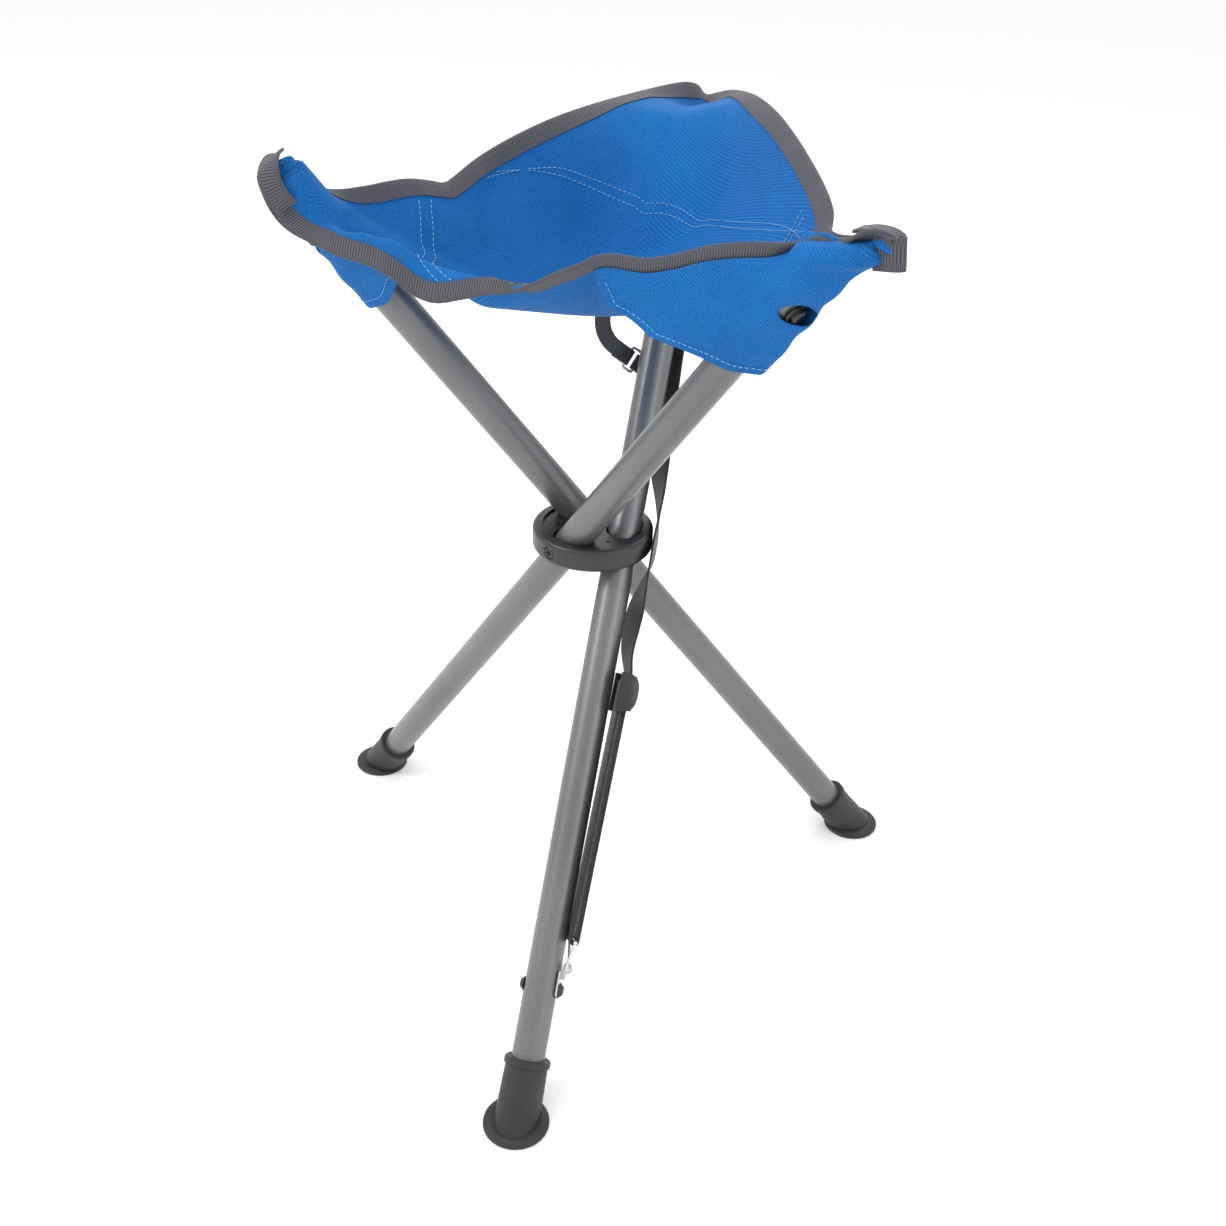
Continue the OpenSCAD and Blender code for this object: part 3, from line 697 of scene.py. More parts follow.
def settle(start, rest_flat, pinned):
    """Hangs the cloth from its taped edges and lets it sag, keeping the size of the flat cut."""
    cloth = piece_from("settling_cloth", start, triangles, seat_cloth)
    cloth.shape_key_add(name="Basis")
    cut_key = cloth.shape_key_add(name="cut")
    for n, (u, v) in enumerate(rest_flat):
        cut_key.data[n].co = (u, v, 0)
    group = cloth.vertex_groups.new(name="held")
    group.add([int(n) for n in np.nonzero(pinned)[0]], 1.0, "REPLACE")
    sag = cloth.modifiers.new("sag", "CLOTH")
    settings = sag.settings
    settings.rest_shape_key = cut_key
    settings.vertex_group_mass = "held"
    settings.quality = 10
    settings.mass = 0.15
    settings.tension_stiffness = 60
    settings.compression_stiffness = 30
    settings.shear_stiffness = 12
    settings.bending_stiffness = 3.0
    settings.tension_damping = 12
    settings.compression_damping = 12
    settings.air_damping = 2.0
    sag.collision_settings.use_collision = False
    scene.frame_start, scene.frame_end = 1, SIM_FRAMES
    sag.point_cache.frame_start, sag.point_cache.frame_end = 1, SIM_FRAMES
    for step in range(1, SIM_FRAMES + 1):
        scene.frame_set(step)
    settled = cloth.evaluated_get(bpy.context.evaluated_depsgraph_get())
    out = np.array([v.co for v in settled.data.vertices], float)
    scene.frame_set(1)
    bpy.data.objects.remove(cloth)
    return out


# Heights up the leg: the cloth keeps clear of the tube from LAID_FROM up, and the room that it keeps shrinks
# to nothing over the last COMES_OFF below OFF_TUBE
LAID_FROM, COMES_OFF, OFF_TUBE = 0.2, 0.012, 0.312


def over_tubes(points, fixed):
    """Lays the cloth over the tops of the leg tubes where it would cut through them."""
    moved = np.array(points, float)
    for k in LEGS:
        local = into_leg(k, moved)
        x, y, z = local.T
        room = OVER_TUBE * np.clip((OFF_TUBE - z) / COMES_OFF, 0, 1)
        top = -np.sqrt(np.maximum(room ** 2 - x ** 2, 0)) - over_nut(x, z)
        inside = (np.abs(x) < room) & (y > top) & (z > LAID_FROM) & ~fixed
        local[inside, 1] = top[inside]
        moved[inside] = out_of_leg(k, local)[inside]
    return moved


def neighbours(faces):
    """Pairs of points that share a side, each both ways round."""
    pairs = np.array([(f[i], f[(i + 1) % 3]) for f in faces for i in range(3)])
    return np.vstack([pairs, pairs[:, ::-1]])


def relax(points, faces, fixed, rounds):
    """Evens the cloth out, keeping the fixed points and staying over the tubes."""
    pairs = neighbours(faces)
    count = np.bincount(pairs[:, 0], minlength=len(points))[:, None]
    for _ in range(rounds):
        total = np.zeros_like(points)
        np.add.at(total, pairs[:, 0], points[pairs[:, 1]])
        points = np.where(fixed[:, None], points, points + 0.5 * (total / np.maximum(count, 1) - points))
        points = over_tubes(points, fixed)
    return points


outline = SHARES.min(axis=1) < NO_SHARE
places = settle(places, FLAT, held)
near_tip = SHARES.max(axis=1) > 0.80
# The back corner's panel is pulled nearly flat between its two tapes: how much, by share of the corner
PANEL_AT, PANEL_TIGHT = (0.50, 0.70, 0.77, 0.93), (0, 0.85, 0.85, 0)
for n, shares in enumerate(SHARES):
    tight = np.interp(shares[0], PANEL_AT, PANEL_TIGHT)
    if tight > 0 and not outline[n]:
        across_panel = shares[2] / (shares[1] + shares[2])
        left = boundary_place((shares[0], 1 - shares[0], 0))
        right = boundary_place((shares[0], 0, 1 - shares[0]))
        taut = left * (1 - across_panel) + right * across_panel
        places[n] = places[n] * (1 - tight) + taut * tight
places = over_tubes(places, outline)
places = relax(places, triangles, outline | ~near_tip, 14)
places = relax(places, triangles, outline, 2)


def on_cloth(shares):
    """Place on the settled cloth of a point of the cut, given by its shares of the three corners."""
    b = np.clip(np.asarray(shares, float), 0, 1)
    b = b / b.sum()
    x, y = b[1] * ROWS, b[2] * ROWS
    i, j = min(int(x), ROWS - 1), min(int(y), ROWS - 1)
    if i + j > ROWS - 1:
        i = max(0, ROWS - 1 - j)
    fx, fy = x - i, y - j
    towards_2, towards_3 = places[slot_of(i + 1, j)], places[slot_of(i, j + 1)]
    if fx + fy <= 1 or i + j >= ROWS - 1:
        return places[slot_of(i, j)] * (1 - fx - fy) + towards_2 * fx + towards_3 * fy
    return places[slot_of(i + 1, j + 1)] * (fx + fy - 1) + towards_2 * (1 - fy) + towards_3 * (1 - fx)


# ---------------------------------------------------------------- seat cloth, in three thirds


def follow(piece):
    """Bakes the piece's place into its mesh."""
    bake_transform(piece)


def whole_normals(points, faces):
    """Normal of the cloth at each point, taken from all the faces round it."""
    normals = np.zeros_like(points)
    corners = points[np.array(faces)]
    face_normals = np.cross(corners[:, 1] - corners[:, 0], corners[:, 2] - corners[:, 0])
    for c in range(3):
        np.add.at(normals, np.array(faces)[:, c], face_normals)
    return normals / np.maximum(np.linalg.norm(normals, axis=1), 1e-12)[:, None]


def refine(points, flat, shares, faces):
    """Splits each triangle in four."""
    points, flat, shares = list(points), list(flat), list(shares)
    middles, finer = {}, []

    def middle(a, b):
        key = (min(a, b), max(a, b))
        if key not in middles:
            middles[key] = len(points)
            points.append((points[a] + points[b]) / 2)
            flat.append((flat[a] + flat[b]) / 2)
            shares.append((shares[a] + shares[b]) / 2)
        return middles[key]

    for a, b, c in faces:
        ab, bc, ca = middle(a, b), middle(b, c), middle(c, a)
        finer += [(a, ab, ca), (ab, b, bc), (ca, bc, c), (ab, bc, ca)]
    return np.array(points), np.array(flat), np.array(shares), finer


CLOTH_T = 0.0009
# A face as near to two corners belongs to the lower number
TIE_BREAK = np.array([2e-6, 1e-6, 0])
fine_points, fine_flat, fine_shares, fine_faces = refine(places, FLAT, SHARES, triangles)
fine_rim = fine_shares.min(axis=1) < NO_SHARE
fine_points = relax(fine_points, fine_faces, fine_rim, 3)
fine_normals = whole_normals(fine_points, fine_faces)
face_owner = (fine_shares[np.array(fine_faces)].mean(axis=1) + TIE_BREAK).argmax(axis=1) + 1


def third_of_seat(k):
    """Top and lining of the third that belongs to corner k, closed round its rim."""
    mine = [f for f, owner in zip(fine_faces, face_owner) if owner == k]
    used = sorted({n for f in mine for n in f})
    number = {n: i for i, n in enumerate(used)}
    count = len(used)
    top = fine_points[used] + fine_normals[used] * CLOTH_T / 2
    under = fine_points[used] - fine_normals[used] * CLOTH_T / 2
    faces = [tuple(number[n] for n in f) for f in mine]
    sides = {}
    for f in faces:
        for i in range(3):
            a, b = f[i], f[(i + 1) % 3]
            sides[(a, b)] = sides.get((a, b), 0) + 1
    wall = [(b, a, a + count, b + count) for (a, b) in sides if (b, a) not in sides]
    lining = [(f[0] + count, f[2] + count, f[1] + count) for f in faces]
    flat = np.vstack([fine_flat[used], fine_flat[used]])
    piece = piece_from(f"seat_cloth_{k}", np.vstack([top, under]), faces + lining + wall, seat_cloth, flat)
    smooth_all(piece)
    normals = np.vstack([fine_normals[used], -fine_normals[used]])
    piece.data.normals_split_custom_set_from_vertices([tuple(n) for n in normals])
    return piece


# ---------------------------------------------------------------- edge tape

TAPE_T = 0.0012
TAPE_STEP = 0.0016
# Rows along the folded tape, by their depth from the edge of the cloth
TAPE_DEPTHS = (TAPE_W, TAPE_W * 0.66, TAPE_W * 0.33, 0.0)


def edge_shares(first, second, share, inset):
    """Point of the cut on the edge from first to second, inset from it towards the third corner."""
    third = 6 - first - second
    height = 2 * AREA / side_between(first, second)
    b = np.zeros(3)
    b[third - 1] = inset / height
    b[second - 1] = share * (1 - b[third - 1])
    b[first - 1] = (1 - share) * (1 - b[third - 1])
    return b


def measured_in(first, second, share, distances):
    """Places on the cloth at those distances from the edge, measured over the cloth."""
    steps = np.linspace(0, 0.022, 12)
    path = np.array([on_cloth(edge_shares(first, second, share, d)) for d in steps])
    at = running(path)
    return [np.array([np.interp(d, at, path[:, i]) for i in range(3)]) for d in distances]


def half_tape(first, second, share_from, share_to):
    """Rings of the folded tape round the cloth's edge, from one share of the edge to another."""
    length = side_between(first, second)
    steps = int((share_to - share_from) * length / TAPE_STEP)
    shares = np.linspace(share_from, share_to, steps + 1)
    rows = [measured_in(first, second, s, TAPE_DEPTHS) for s in shares]
    edge = np.array([r[-1] for r in rows])
    outward = np.array([unit(r[-1] - r[0]) for r in rows])
    ahead = np.gradient(edge, axis=0)
    for _ in range(4):
        outward[1:-1] = (outward[:-2] + 2 * outward[1:-1] + outward[2:]) / 4
        ahead[1:-1] = (ahead[:-2] + 2 * ahead[1:-1] + ahead[2:]) / 4
    rings = []
    for s, row, out, on in zip(shares, rows, outward, ahead):
        on = unit(on)
        out = unit(out - on * (out @ on))
        up = np.cross(on, out)
        top = [r + up * TAPE_T for r in row[:3]]
        under = [r - up * TAPE_T for r in row[2::-1]]
        turn = [row[3] + out * TAPE_T * math.sin(a) + up * TAPE_T * math.cos(a)
                for a in (math.radians(d) for d in (0, 50, 90, 130, 180))]
        across = [*TAPE_DEPTHS[:3], *[0] * len(turn), *TAPE_DEPTHS[2::-1]]
        rings.append((s * length, top + turn + under, across))
    return rings


def tape_piece(k):
    """Tape of corner k: from the middle of one edge round the corner to the middle of the other."""
    before, after = beside(k)
    points, flat, faces = [], [], []
    for first, second, a, b in ((before, k, 0.5, 1.0), (k, after, 0.0, 0.5)):
        rings = half_tape(first, second, a, b)
        start, columns = len(points), len(rings[0][1])
        for along, ring, across in rings:
            points += ring
            flat += [(d - TAPE_W / 2, along) for d in across]
        faces += [tuple(n + start for n in f) for f in grid_faces(len(rings), columns, closed=True)]
        last = len(points) - 1
        faces += [tuple(range(start, start + columns)), tuple(range(last, last - columns, -1))]
    piece = piece_from(f"edge_tape_{k}", points, faces, edge_binding, flat)
    recalculate(piece)
    soft_shade(piece, 50)
    return piece


# ---------------------------------------------------------------- stitches


STITCH_PITCH, STITCH_LONG, STITCH_T = 0.0034, 0.0027, 0.0005
STITCH_SIDES = 6
# Outline of a stitch: share of its length from the middle, share of its thickness, rise in thicknesses
STITCH_OUTLINE = (
    (-0.5, 0.0, -0.4), (-0.42, 0.7, 0.1), (-0.2, 1.0, 0.5),
    (0.2, 1.0, 0.5), (0.42, 0.7, 0.1), (0.5, 0.0, -0.4),
)


def stitches(name, rows):
    """Short raised stitches along rows of points, each row a list of (place, normal)."""
    points, faces = [], []
    for row in rows:
        route = np.array([np.concatenate([p, n]) for p, n in row])
        at = running(route[:, :3])

        def on_row(distance):
            return np.array([np.interp(distance, at, route[:, i]) for i in range(6)])

        for middle in np.arange(STITCH_PITCH * 0.6, at[-1] - STITCH_PITCH * 0.3, STITCH_PITCH):
            here = on_row(middle)
            ahead = unit((on_row(middle + STITCH_PITCH * 0.4) - on_row(middle - STITCH_PITCH * 0.4))[:3])
            up = unit(here[3:])
            side = np.cross(ahead, up)
            start = len(points)
            for along, thick, rise in STITCH_OUTLINE:
                centre = here[:3] + ahead * along * STITCH_LONG + up * rise * STITCH_T
                if thick == 0:
                    points.append(centre)
                    continue
                for a in range(STITCH_SIDES):
                    angle = 2 * math.pi * a / STITCH_SIDES
                    out = side * math.cos(angle) + up * math.sin(angle)
                    points.append(centre + out * thick * STITCH_T / 2)
            first, last = start + 1, start + 1 + 3 * STITCH_SIDES
            faces += [tuple(n + first for n in f) for f in grid_faces(4, STITCH_SIDES, closed=True)]
            for a in range(STITCH_SIDES):
                b = (a + 1) % STITCH_SIDES
                faces += [(start, first + a, first + b), (last + STITCH_SIDES, last + b, last + a)]
    piece = piece_from(name, points, faces, seam_thread)
    recalculate(piece)
    smooth_all(piece)
    return piece


def normal_on_cloth(shares):
    """Upward normal of the cloth, from two short steps away from corner 1 or, at its edges, towards it."""
    here = on_cloth(shares)
    steps = np.array([(-1, 1, 0), (-1, 0, 1)]) * 0.006
    if (shares + steps).min() < 0:
        steps = -steps
    first, second = (on_cloth(shares + step) - here for step in steps)
    return unit(np.cross(first, second))


# Share of each edge, from the corner, at which the seams of the corner patches meet it
SEAM = {1: (0.56, 0.80), 2: (0.33, 0.265), 3: (0.24, 0.22)}
SEAM_GAP = 0.0085
SEAM_POINTS = 90
# The back corner's seam runs nearly level across the seat: shares of the three corners along it
LEVEL_SEAM = [
    (0.44, 0.56, 0), (0.50, 0.44, 0.06), (0.53, 0.37, 0.10), (0.55, 0.30, 0.15), (0.56, 0.235, 0.205),
    (0.55, 0.19, 0.26), (0.50, 0.16, 0.34), (0.36, 0.115, 0.525), (0.26, 0.07, 0.67), (0.2, 0, 0.8),
]


def level_way(left, right, offset):
    """The back corner's seam from its left end to its right one, offset towards the corner."""
    stops = np.array(LEVEL_SEAM)
    stops[:, 0] += offset * side_between(2, 3) / (2 * AREA)
    stops = stops / stops.sum(axis=1, keepdims=True)
    stops[0], stops[-1] = left, right
    at = np.linspace(0, len(stops) - 1, SEAM_POINTS)
    way = np.stack([np.interp(at, range(len(stops)), stops[:, i]) for i in range(3)], axis=1)
    for _ in range(25):
        way[1:-1] = (way[:-2] + 2 * way[1:-1] + way[2:]) / 4
    return way


def seam_rows(k):
    """Two rows of stitches across the corner, with the normal of the cloth and the third they are sewn on."""
    before, after = beside(k)
    rows = []
    for offset in (0.0, SEAM_GAP):
        on_after = SEAM[k][0] + offset / side_between(k, after)
        on_before = SEAM[k][1] + offset / side_between(before, k)
        a = edge_shares(k, after, on_after, TAPE_W)
        b = edge_shares(before, k, 1 - on_before, TAPE_W)
        if k == 1:
            way = level_way(a, b, offset)
        else:
            way = np.array([a * (1 - t) + b * t for t in np.linspace(0, 1, SEAM_POINTS)])
        row = []
        for shares in way:
            n = normal_on_cloth(shares)
            row.append((on_cloth(shares) + n * (CLOTH_T / 2 + 0.0001), n, int(np.argmax(shares)) + 1))
        rows.append(row)
    return rows


# ---------------------------------------------------------------- leg pockets

# For each corner: how far along the edges before and after it the pocket is sewn, height of its hem up the
# leg, outermost fold as (x, y, radius), window as (x, z, half width, half height), in millimetres
POCKET = {
    1: dict(reach=(0.30, 0.30), hem=206, fold=(0, 1, 12.8), window=(0, 264, 7, 10)),
    2: dict(reach=(0.25, 0.28), hem=211, fold=(0, 1.4, 12.8), window=(0, 264, 6.5, 8.5)),
    3: dict(reach=(0.43, 0.26), hem=217, fold=(-4, 15, 4.0), window=(2.5, 268, 10.5, 6.5)),
}
# The hem of corner 3's pocket droops next to the front edge and rises at the fold: share of the way, rise
HEM_DROOP = ((0, 0.14, 0.28, 0.42, 0.60, 0.75, 0.90, 1), (0, 0.008, 0.007, 0, -0.012, -0.025, -0.022, 0))
TUBE_TOP = 0.299
POCKET_ROWS, POCKET_COLUMNS = 52, 77
# The pocket's radius round the tube, its depth under the seat cloth, and how far its hem is stitched in
ROUND_TUBE, UNDER_CLOTH, HEM_IN = TUBE_R + 0.0014, 0.0016, 0.006
# Share of the girth that is left at the tip, of an edge that the top row keeps from the corner, and of a row
# over which it goes from the tape's height to its own
TIP_GIRTH, FROM_CORNER, SIDE_EASE = 0.07, 0.004, 0.3


def round_leg(a, b, circles):
    """Way a taut sheet takes from a to b round the outside of the circles, in the leg's cross-section."""
    spots = {tuple(a), tuple(b)}
    for x, y, radius in circles:
        for turn in np.linspace(0, 2 * math.pi, 72, endpoint=False):
            spots.add(tuple(np.array([x + radius * math.sin(turn), y + radius * math.cos(turn)]) * MM))
    spots = sorted(spots)
    hull = []
    for order in (spots, spots[::-1]):
        chain = []
        for p in order:
            while len(chain) > 1:
                last = np.subtract(chain[-1], chain[-2])
                if np.cross(last, np.subtract(p, chain[-1])) > 0:
                    break
                chain.pop()
            chain.append(p)
        hull += chain[:-1]
    hull = np.array(hull)
    first = int(np.argmin(np.linalg.norm(hull - a, axis=1)))
    last = int(np.argmin(np.linalg.norm(hull - b, axis=1)))
    one = [hull[(first + i) % len(hull)] for i in range((last - first) % len(hull) + 1)]
    other = [hull[(first - i) % len(hull)] for i in range((first - last) % len(hull) + 1)]
    way = max((one, other), key=lambda w: max(p[1] for p in w) + len(w) * MM)
    way = np.array([a, *way[1:-1], b])
    at = running(way)
    even = np.linspace(0, at[-1], POCKET_COLUMNS)
    return np.stack([np.interp(even, at, way[:, 0]), np.interp(even, at, way[:, 1])], axis=1), at[-1]


def ease(t):
    """0 up to 0, 1 from 1 on, and a smooth rise between them."""
    t = min(max(t, 0.0), 1.0)
    return t * t * (3 - 2 * t)


def pocket_grid(k):
    """Places on the pocket under corner k, row by row from the hem up, and the length of each row."""
    before, after = beside(k)
    make = POCKET[k]
    hem = make["hem"] * MM
    tip = np.array(CORNER_TIP[k]) * MM
    rows, lengths = [], []
    for r in range(POCKET_ROWS):
        v = r / (POCKET_ROWS - 1)
        middle_z = hem + (tip[2] - hem) * v
        closing = max(0.0, (middle_z - TUBE_TOP) / (tip[2] - TUBE_TOP))
        size = math.sqrt(max(1 - closing ** 2, 0.0)) * (1 - TIP_GIRTH) + TIP_GIRTH
        circles = [(x + (tip[0] / MM - x) * closing, y + (tip[1] / MM - y) * closing, radius * size)
                   for x, y, radius in ((0, 0, ROUND_TUBE / MM), make["fold"])]
        ends = []
        for first, second, share in ((before, k, 1 - make["reach"][0] * (1 - v) - FROM_CORNER),
                                     (k, after, make["reach"][1] * (1 - v) + FROM_CORNER)):
            sewn = edge_shares(first, second, share, TAPE_DEPTHS[1])
            ends.append(into_leg(k, on_cloth(sewn) - normal_on_cloth(sewn) * UNDER_CLOTH))
        a, b = sorted(ends, key=lambda p: p[0])
        way, length = round_leg(a[:2], b[:2], circles)
        row = []
        for c, (x, y) in enumerate(way):
            t = c / (POCKET_COLUMNS - 1)
            level = ease(t / SIDE_EASE) * ease((1 - t) / SIDE_EASE)
            z = (a[2] * (1 - t) + b[2] * t) * (1 - level) + middle_z * level
            if k == 3:
                z += np.interp(t, *HEM_DROOP) * (1 - v) ** 3
            # Soft bulges along the leg
            waves = math.sin(9.0 * t + 26.0 * v + 2.1 * k)
            bulge = 0.0011 * math.sin(math.pi * t) * waves * math.sin(math.pi * v)
            away = unit(np.array([x, y]))
            row.append((x + away[0] * bulge, y + away[1] * bulge, z))
        rows.append(np.array(row))
        lengths.append(length)
    return [out_of_leg(k, row) for row in rows], lengths


def pocket_piece(k):
    """Pocket sewn under corner k: a sheet from tape to tape round the outside of the leg, with a window."""
    rows, lengths = pocket_grid(k)
    x0, z0, half_w, half_h = (n * MM for n in POCKET[k]["window"])
    hem, height = POCKET[k]["hem"] * MM, (CORNER_TIP[k][2] - POCKET[k]["hem"]) * MM
    flat = [((c / (POCKET_COLUMNS - 1) - 0.5) * length, hem + height * r / (POCKET_ROWS - 1))
            for r, length in enumerate(lengths) for c in range(POCKET_COLUMNS)]
    faces = grid_faces(POCKET_ROWS, POCKET_COLUMNS)
    piece = piece_from(f"pocket_{k}_cloth", np.vstack(rows), faces, seat_cloth, flat)
    bm = bmesh.new()
    bm.from_mesh(piece.data)
    grid = np.array(rows)
    inside = np.array([into_leg(k, p) for p in np.vstack(rows)])
    off = np.hypot(inside[:, 0] - x0, inside[:, 2] - z0) + (inside[:, 1] < 0)
    middle = np.array(divmod(int(np.argmin(off)), POCKET_COLUMNS), float)
    row_length = lengths[int(middle[0])] / (POCKET_COLUMNS - 1)
    half = np.array([half_h / (height / (POCKET_ROWS - 1)), half_w / row_length])
    at = {v: np.array(divmod(v.index, POCKET_COLUMNS), float) for v in bm.verts}
    opening = [f for f in bm.faces if np.linalg.norm((sum(at[v] for v in f.verts) / 4 - middle) / half) < 1]
    bmesh.ops.delete(bm, geom=opening, context="FACES")
    for vertex in bm.verts:
        reach = np.linalg.norm((at[vertex] - middle) / half)
        if vertex.is_boundary and reach < 1.7:
            r, c = middle + (at[vertex] - middle) / reach
            i, j = int(r), int(c)
            u, w = r - i, c - j
            vertex.co = Vector((grid[i][j] * (1 - u) + grid[i + 1][j] * u) * (1 - w)
                               + (grid[i][j + 1] * (1 - u) + grid[i + 1][j + 1] * u) * w)
    bmesh.ops.recalc_face_normals(bm, faces=bm.faces)
    bm.to_mesh(piece.data)
    bm.free()
    wall = piece.modifiers.new("wall", "SOLIDIFY")
    wall.thickness = 0.001
    wall.offset = 0
    rounded = piece.modifiers.new("rounded", "SUBSURF")
    rounded.levels = rounded.render_levels = 1
    apply_modifiers(piece)
    soft_shade(piece, 60)
    return piece, rows, lengths


def hem_rows(k, rows):
    """Line of stitches just above the pocket's hem, outside and inside it."""
    lines = []
    for side in (1, -1):
        line = []
        for c in range(2, POCKET_COLUMNS - 2):
            here, above = rows[0][c], rows[6][c]
            spot = here + unit(above - here) * HEM_IN
            out = unit(np.cross(rows[0][c + 1] - rows[0][c - 1], above - here))
            centre = np.array(on_leg(k, (0, 0, POCKET[k]["hem"])))
            if out @ (here - centre) < 0:
                out = -out
            line.append((spot + out * side * 0.0006, out * side))
        lines.append(line)
    return lines


# Tape folded over the tip of each corner, down both sides: rows in the frame of the leg, in millimetres
TIP_FOLD = {
    1: [(0, -14.4, 293), (0, -14.2, 298), (0.3, -8.6, 305), (0.8, -1.2, 311.6), (1, 3.2, 313.4),
        (0.8, 8, 312), (0.3, 12.4, 306.5), (0, 14.2, 298.5), (0, 14.4, 293)],
    2: [(2, -3, 310.5), (1.9, 1, 312.9), (1.8, 5.6, 312.3), (1.3, 10.2, 309.6), (0.5, 13.2, 304.5),
        (-0.2, 14.3, 298.5), (-0.6, 14.6, 291)],
    3: [(-9.5, 3, 318), (-11, 8, 324), (-12.6, 15, 329), (-13, 21, 331)],
}
# Corners 2 and 3 end in a short piece folded over the tip: width, rise of its width and its rows
END_CAP = {
    2: (13, 0, [
        (2, -4, 311.5), (-5, -0.5, 313), (-11, 3.8, 311), (-14.6, 7.4, 305.5), (-15.6, 9, 298),
        (-15.4, 9.4, 289),
    ]),
    3: (17, -46, [
        (-7.5, 18, 318), (-8, 22, 322), (-9, 26.5, 326.5), (-11.5, 29, 329), (-13.8, 28.5, 328.5),
        (-15.6, 25.4, 325.4), (-17, 19, 319),
    ]),
}


# Thickness of the folded tape, in millimetres
FOLDED_T = TAPE_T / MM * 1.5


def corner_binding(k):
    """The end of the tape, folded over the tip of corner k."""
    rows = [(*p, 90, 0) for p in TIP_FOLD[k]]
    return ribbon(f"corner_binding_{k}", rows, 14, FOLDED_T, edge_binding, leg=k)


def end_cap(k):
    """Short piece of tape folded over the tip of corner k."""
    width, rise, places_on_leg = END_CAP[k]
    rows = [(*p, 0, rise) for p in places_on_leg]
    return ribbon(f"corner_cap_{k}", rows, width, FOLDED_T, edge_binding, leg=k)


# ---------------------------------------------------------------- straps


def width_way(twist, rise):
    """The way across a strap that is twisted about the leg and rises out of its cross-section, in degrees."""
    t, r = math.radians(twist), math.radians(rise)
    return np.array([math.sin(t) * math.cos(r), math.cos(t) * math.cos(r), math.sin(r)])


# Wire and webbing, in millimetres, and how far a strap's middle lies from a wire that it goes round
WIRE_D, STRAP_T = 2.2, 1.4
WIRE_SIDES = 12
LAYER_OFF = (WIRE_D + 0.9 + STRAP_T) / 2


def round_bar(bar, way, normal, turned, outs, ins):
    """Strap that comes to a bar along way, goes round it and runs back."""
    bar, way, normal = (np.array(x, float) for x in (bar, way, normal))
    rows = [(*(bar - way * s + normal * LAYER_OFF), *turned) for s in outs]
    for degrees in np.arange(22.5, 158, 22.5):
        a = math.radians(degrees)
        rows.append((*(bar + normal * LAYER_OFF * math.cos(a) + way * LAYER_OFF * math.sin(a)), *turned))
    return rows + [(*(bar - way * s - normal * LAYER_OFF), *turned) for s in ins]


def ribbon(name, rows, width, thick, finish, step=1.5, across=9, leg=1):
    """A flat strap along rows of (x, y, z, twist, rise) in a leg's frame, in millimetres."""
    route = smooth_route(rows, step)
    n = len(route)
    deselect()
    bpy.ops.mesh.primitive_grid_add(x_subdivisions=across - 1, y_subdivisions=n - 1, size=1,
                                    location=(0, 0, 0))
    strap = bpy.context.object
    strap.name = name
    mesh = strap.data
    while mesh.uv_layers:
        mesh.uv_layers.remove(mesh.uv_layers[0])
    layer = mesh.uv_layers.new(name="flat")
    at = running(route[:, :3])
    spots = []
    for vertex in mesh.vertices:
        c = int(round((vertex.co.x + 0.5) * (across - 1)))
        r = int(round((vertex.co.y + 0.5) * (n - 1)))
        a, b = route[max(r - 1, 0)], route[min(r + 1, n - 1)]
        along = unit((b - a)[:3])
        wide = width_way(route[r][3], route[r][4])
        wide = unit(wide - along * (wide @ along))
        offset = (c / (across - 1) - 0.5) * width
        spots.append((offset * MM, at[r] * MM))
        vertex.co = on_leg(leg, route[r][:3] + wide * offset)
    for loop in mesh.loops:
        layer.data[loop.index].uv = spots[loop.vertex_index]
    mesh.materials.append(finish)
    wall = strap.modifiers.new("wall", "SOLIDIFY")
    wall.thickness = thick * MM
    wall.offset = 0
    rounded = strap.modifiers.new("rounded", "BEVEL")
    rounded.width = thick * MM * 0.3
    rounded.segments = 2
    rounded.limit_method = "ANGLE"
    apply_modifiers(strap)
    soft_shade(strap, 50)
    return strap


def wire_piece(name, corners, radius, bend, finish):
    """A closed link of round wire with rounded corners, through points in leg 1's frame, in millimetres."""
    path = []
    for i in range(len(corners)):
        before, corner, after = (corners[j % len(corners)] for j in (i - 1, i, i + 1))
        start, end = corner + unit(before - corner) * bend, corner + unit(after - corner) * bend
        for t in np.linspace(0, 1, 7):
            path.append((1 - t) ** 2 * start + 2 * t * (1 - t) * corner + t * t * end)
    up = unit(np.cross(corners[1] - corners[0], corners[2] - corners[1]))
    points, faces = [], []
    for i in range(len(path)):
        j = (i + 1) % len(path)
        side = np.cross(unit(path[j] - path[i - 1]), up)
        for a in range(WIRE_SIDES):
            b, angle = (a + 1) % WIRE_SIDES, 2 * math.pi * a / WIRE_SIDES
            out = side * math.cos(angle) + up * math.sin(angle)
            points.append(on_leg(1, path[i] + out * radius))
            faces.append((i * WIRE_SIDES + a, i * WIRE_SIDES + b, j * WIRE_SIDES + b, j * WIRE_SIDES + a))
    piece = piece_from(name, points, faces, finish)
    recalculate(piece)
    smooth_all(piece)
    return piece


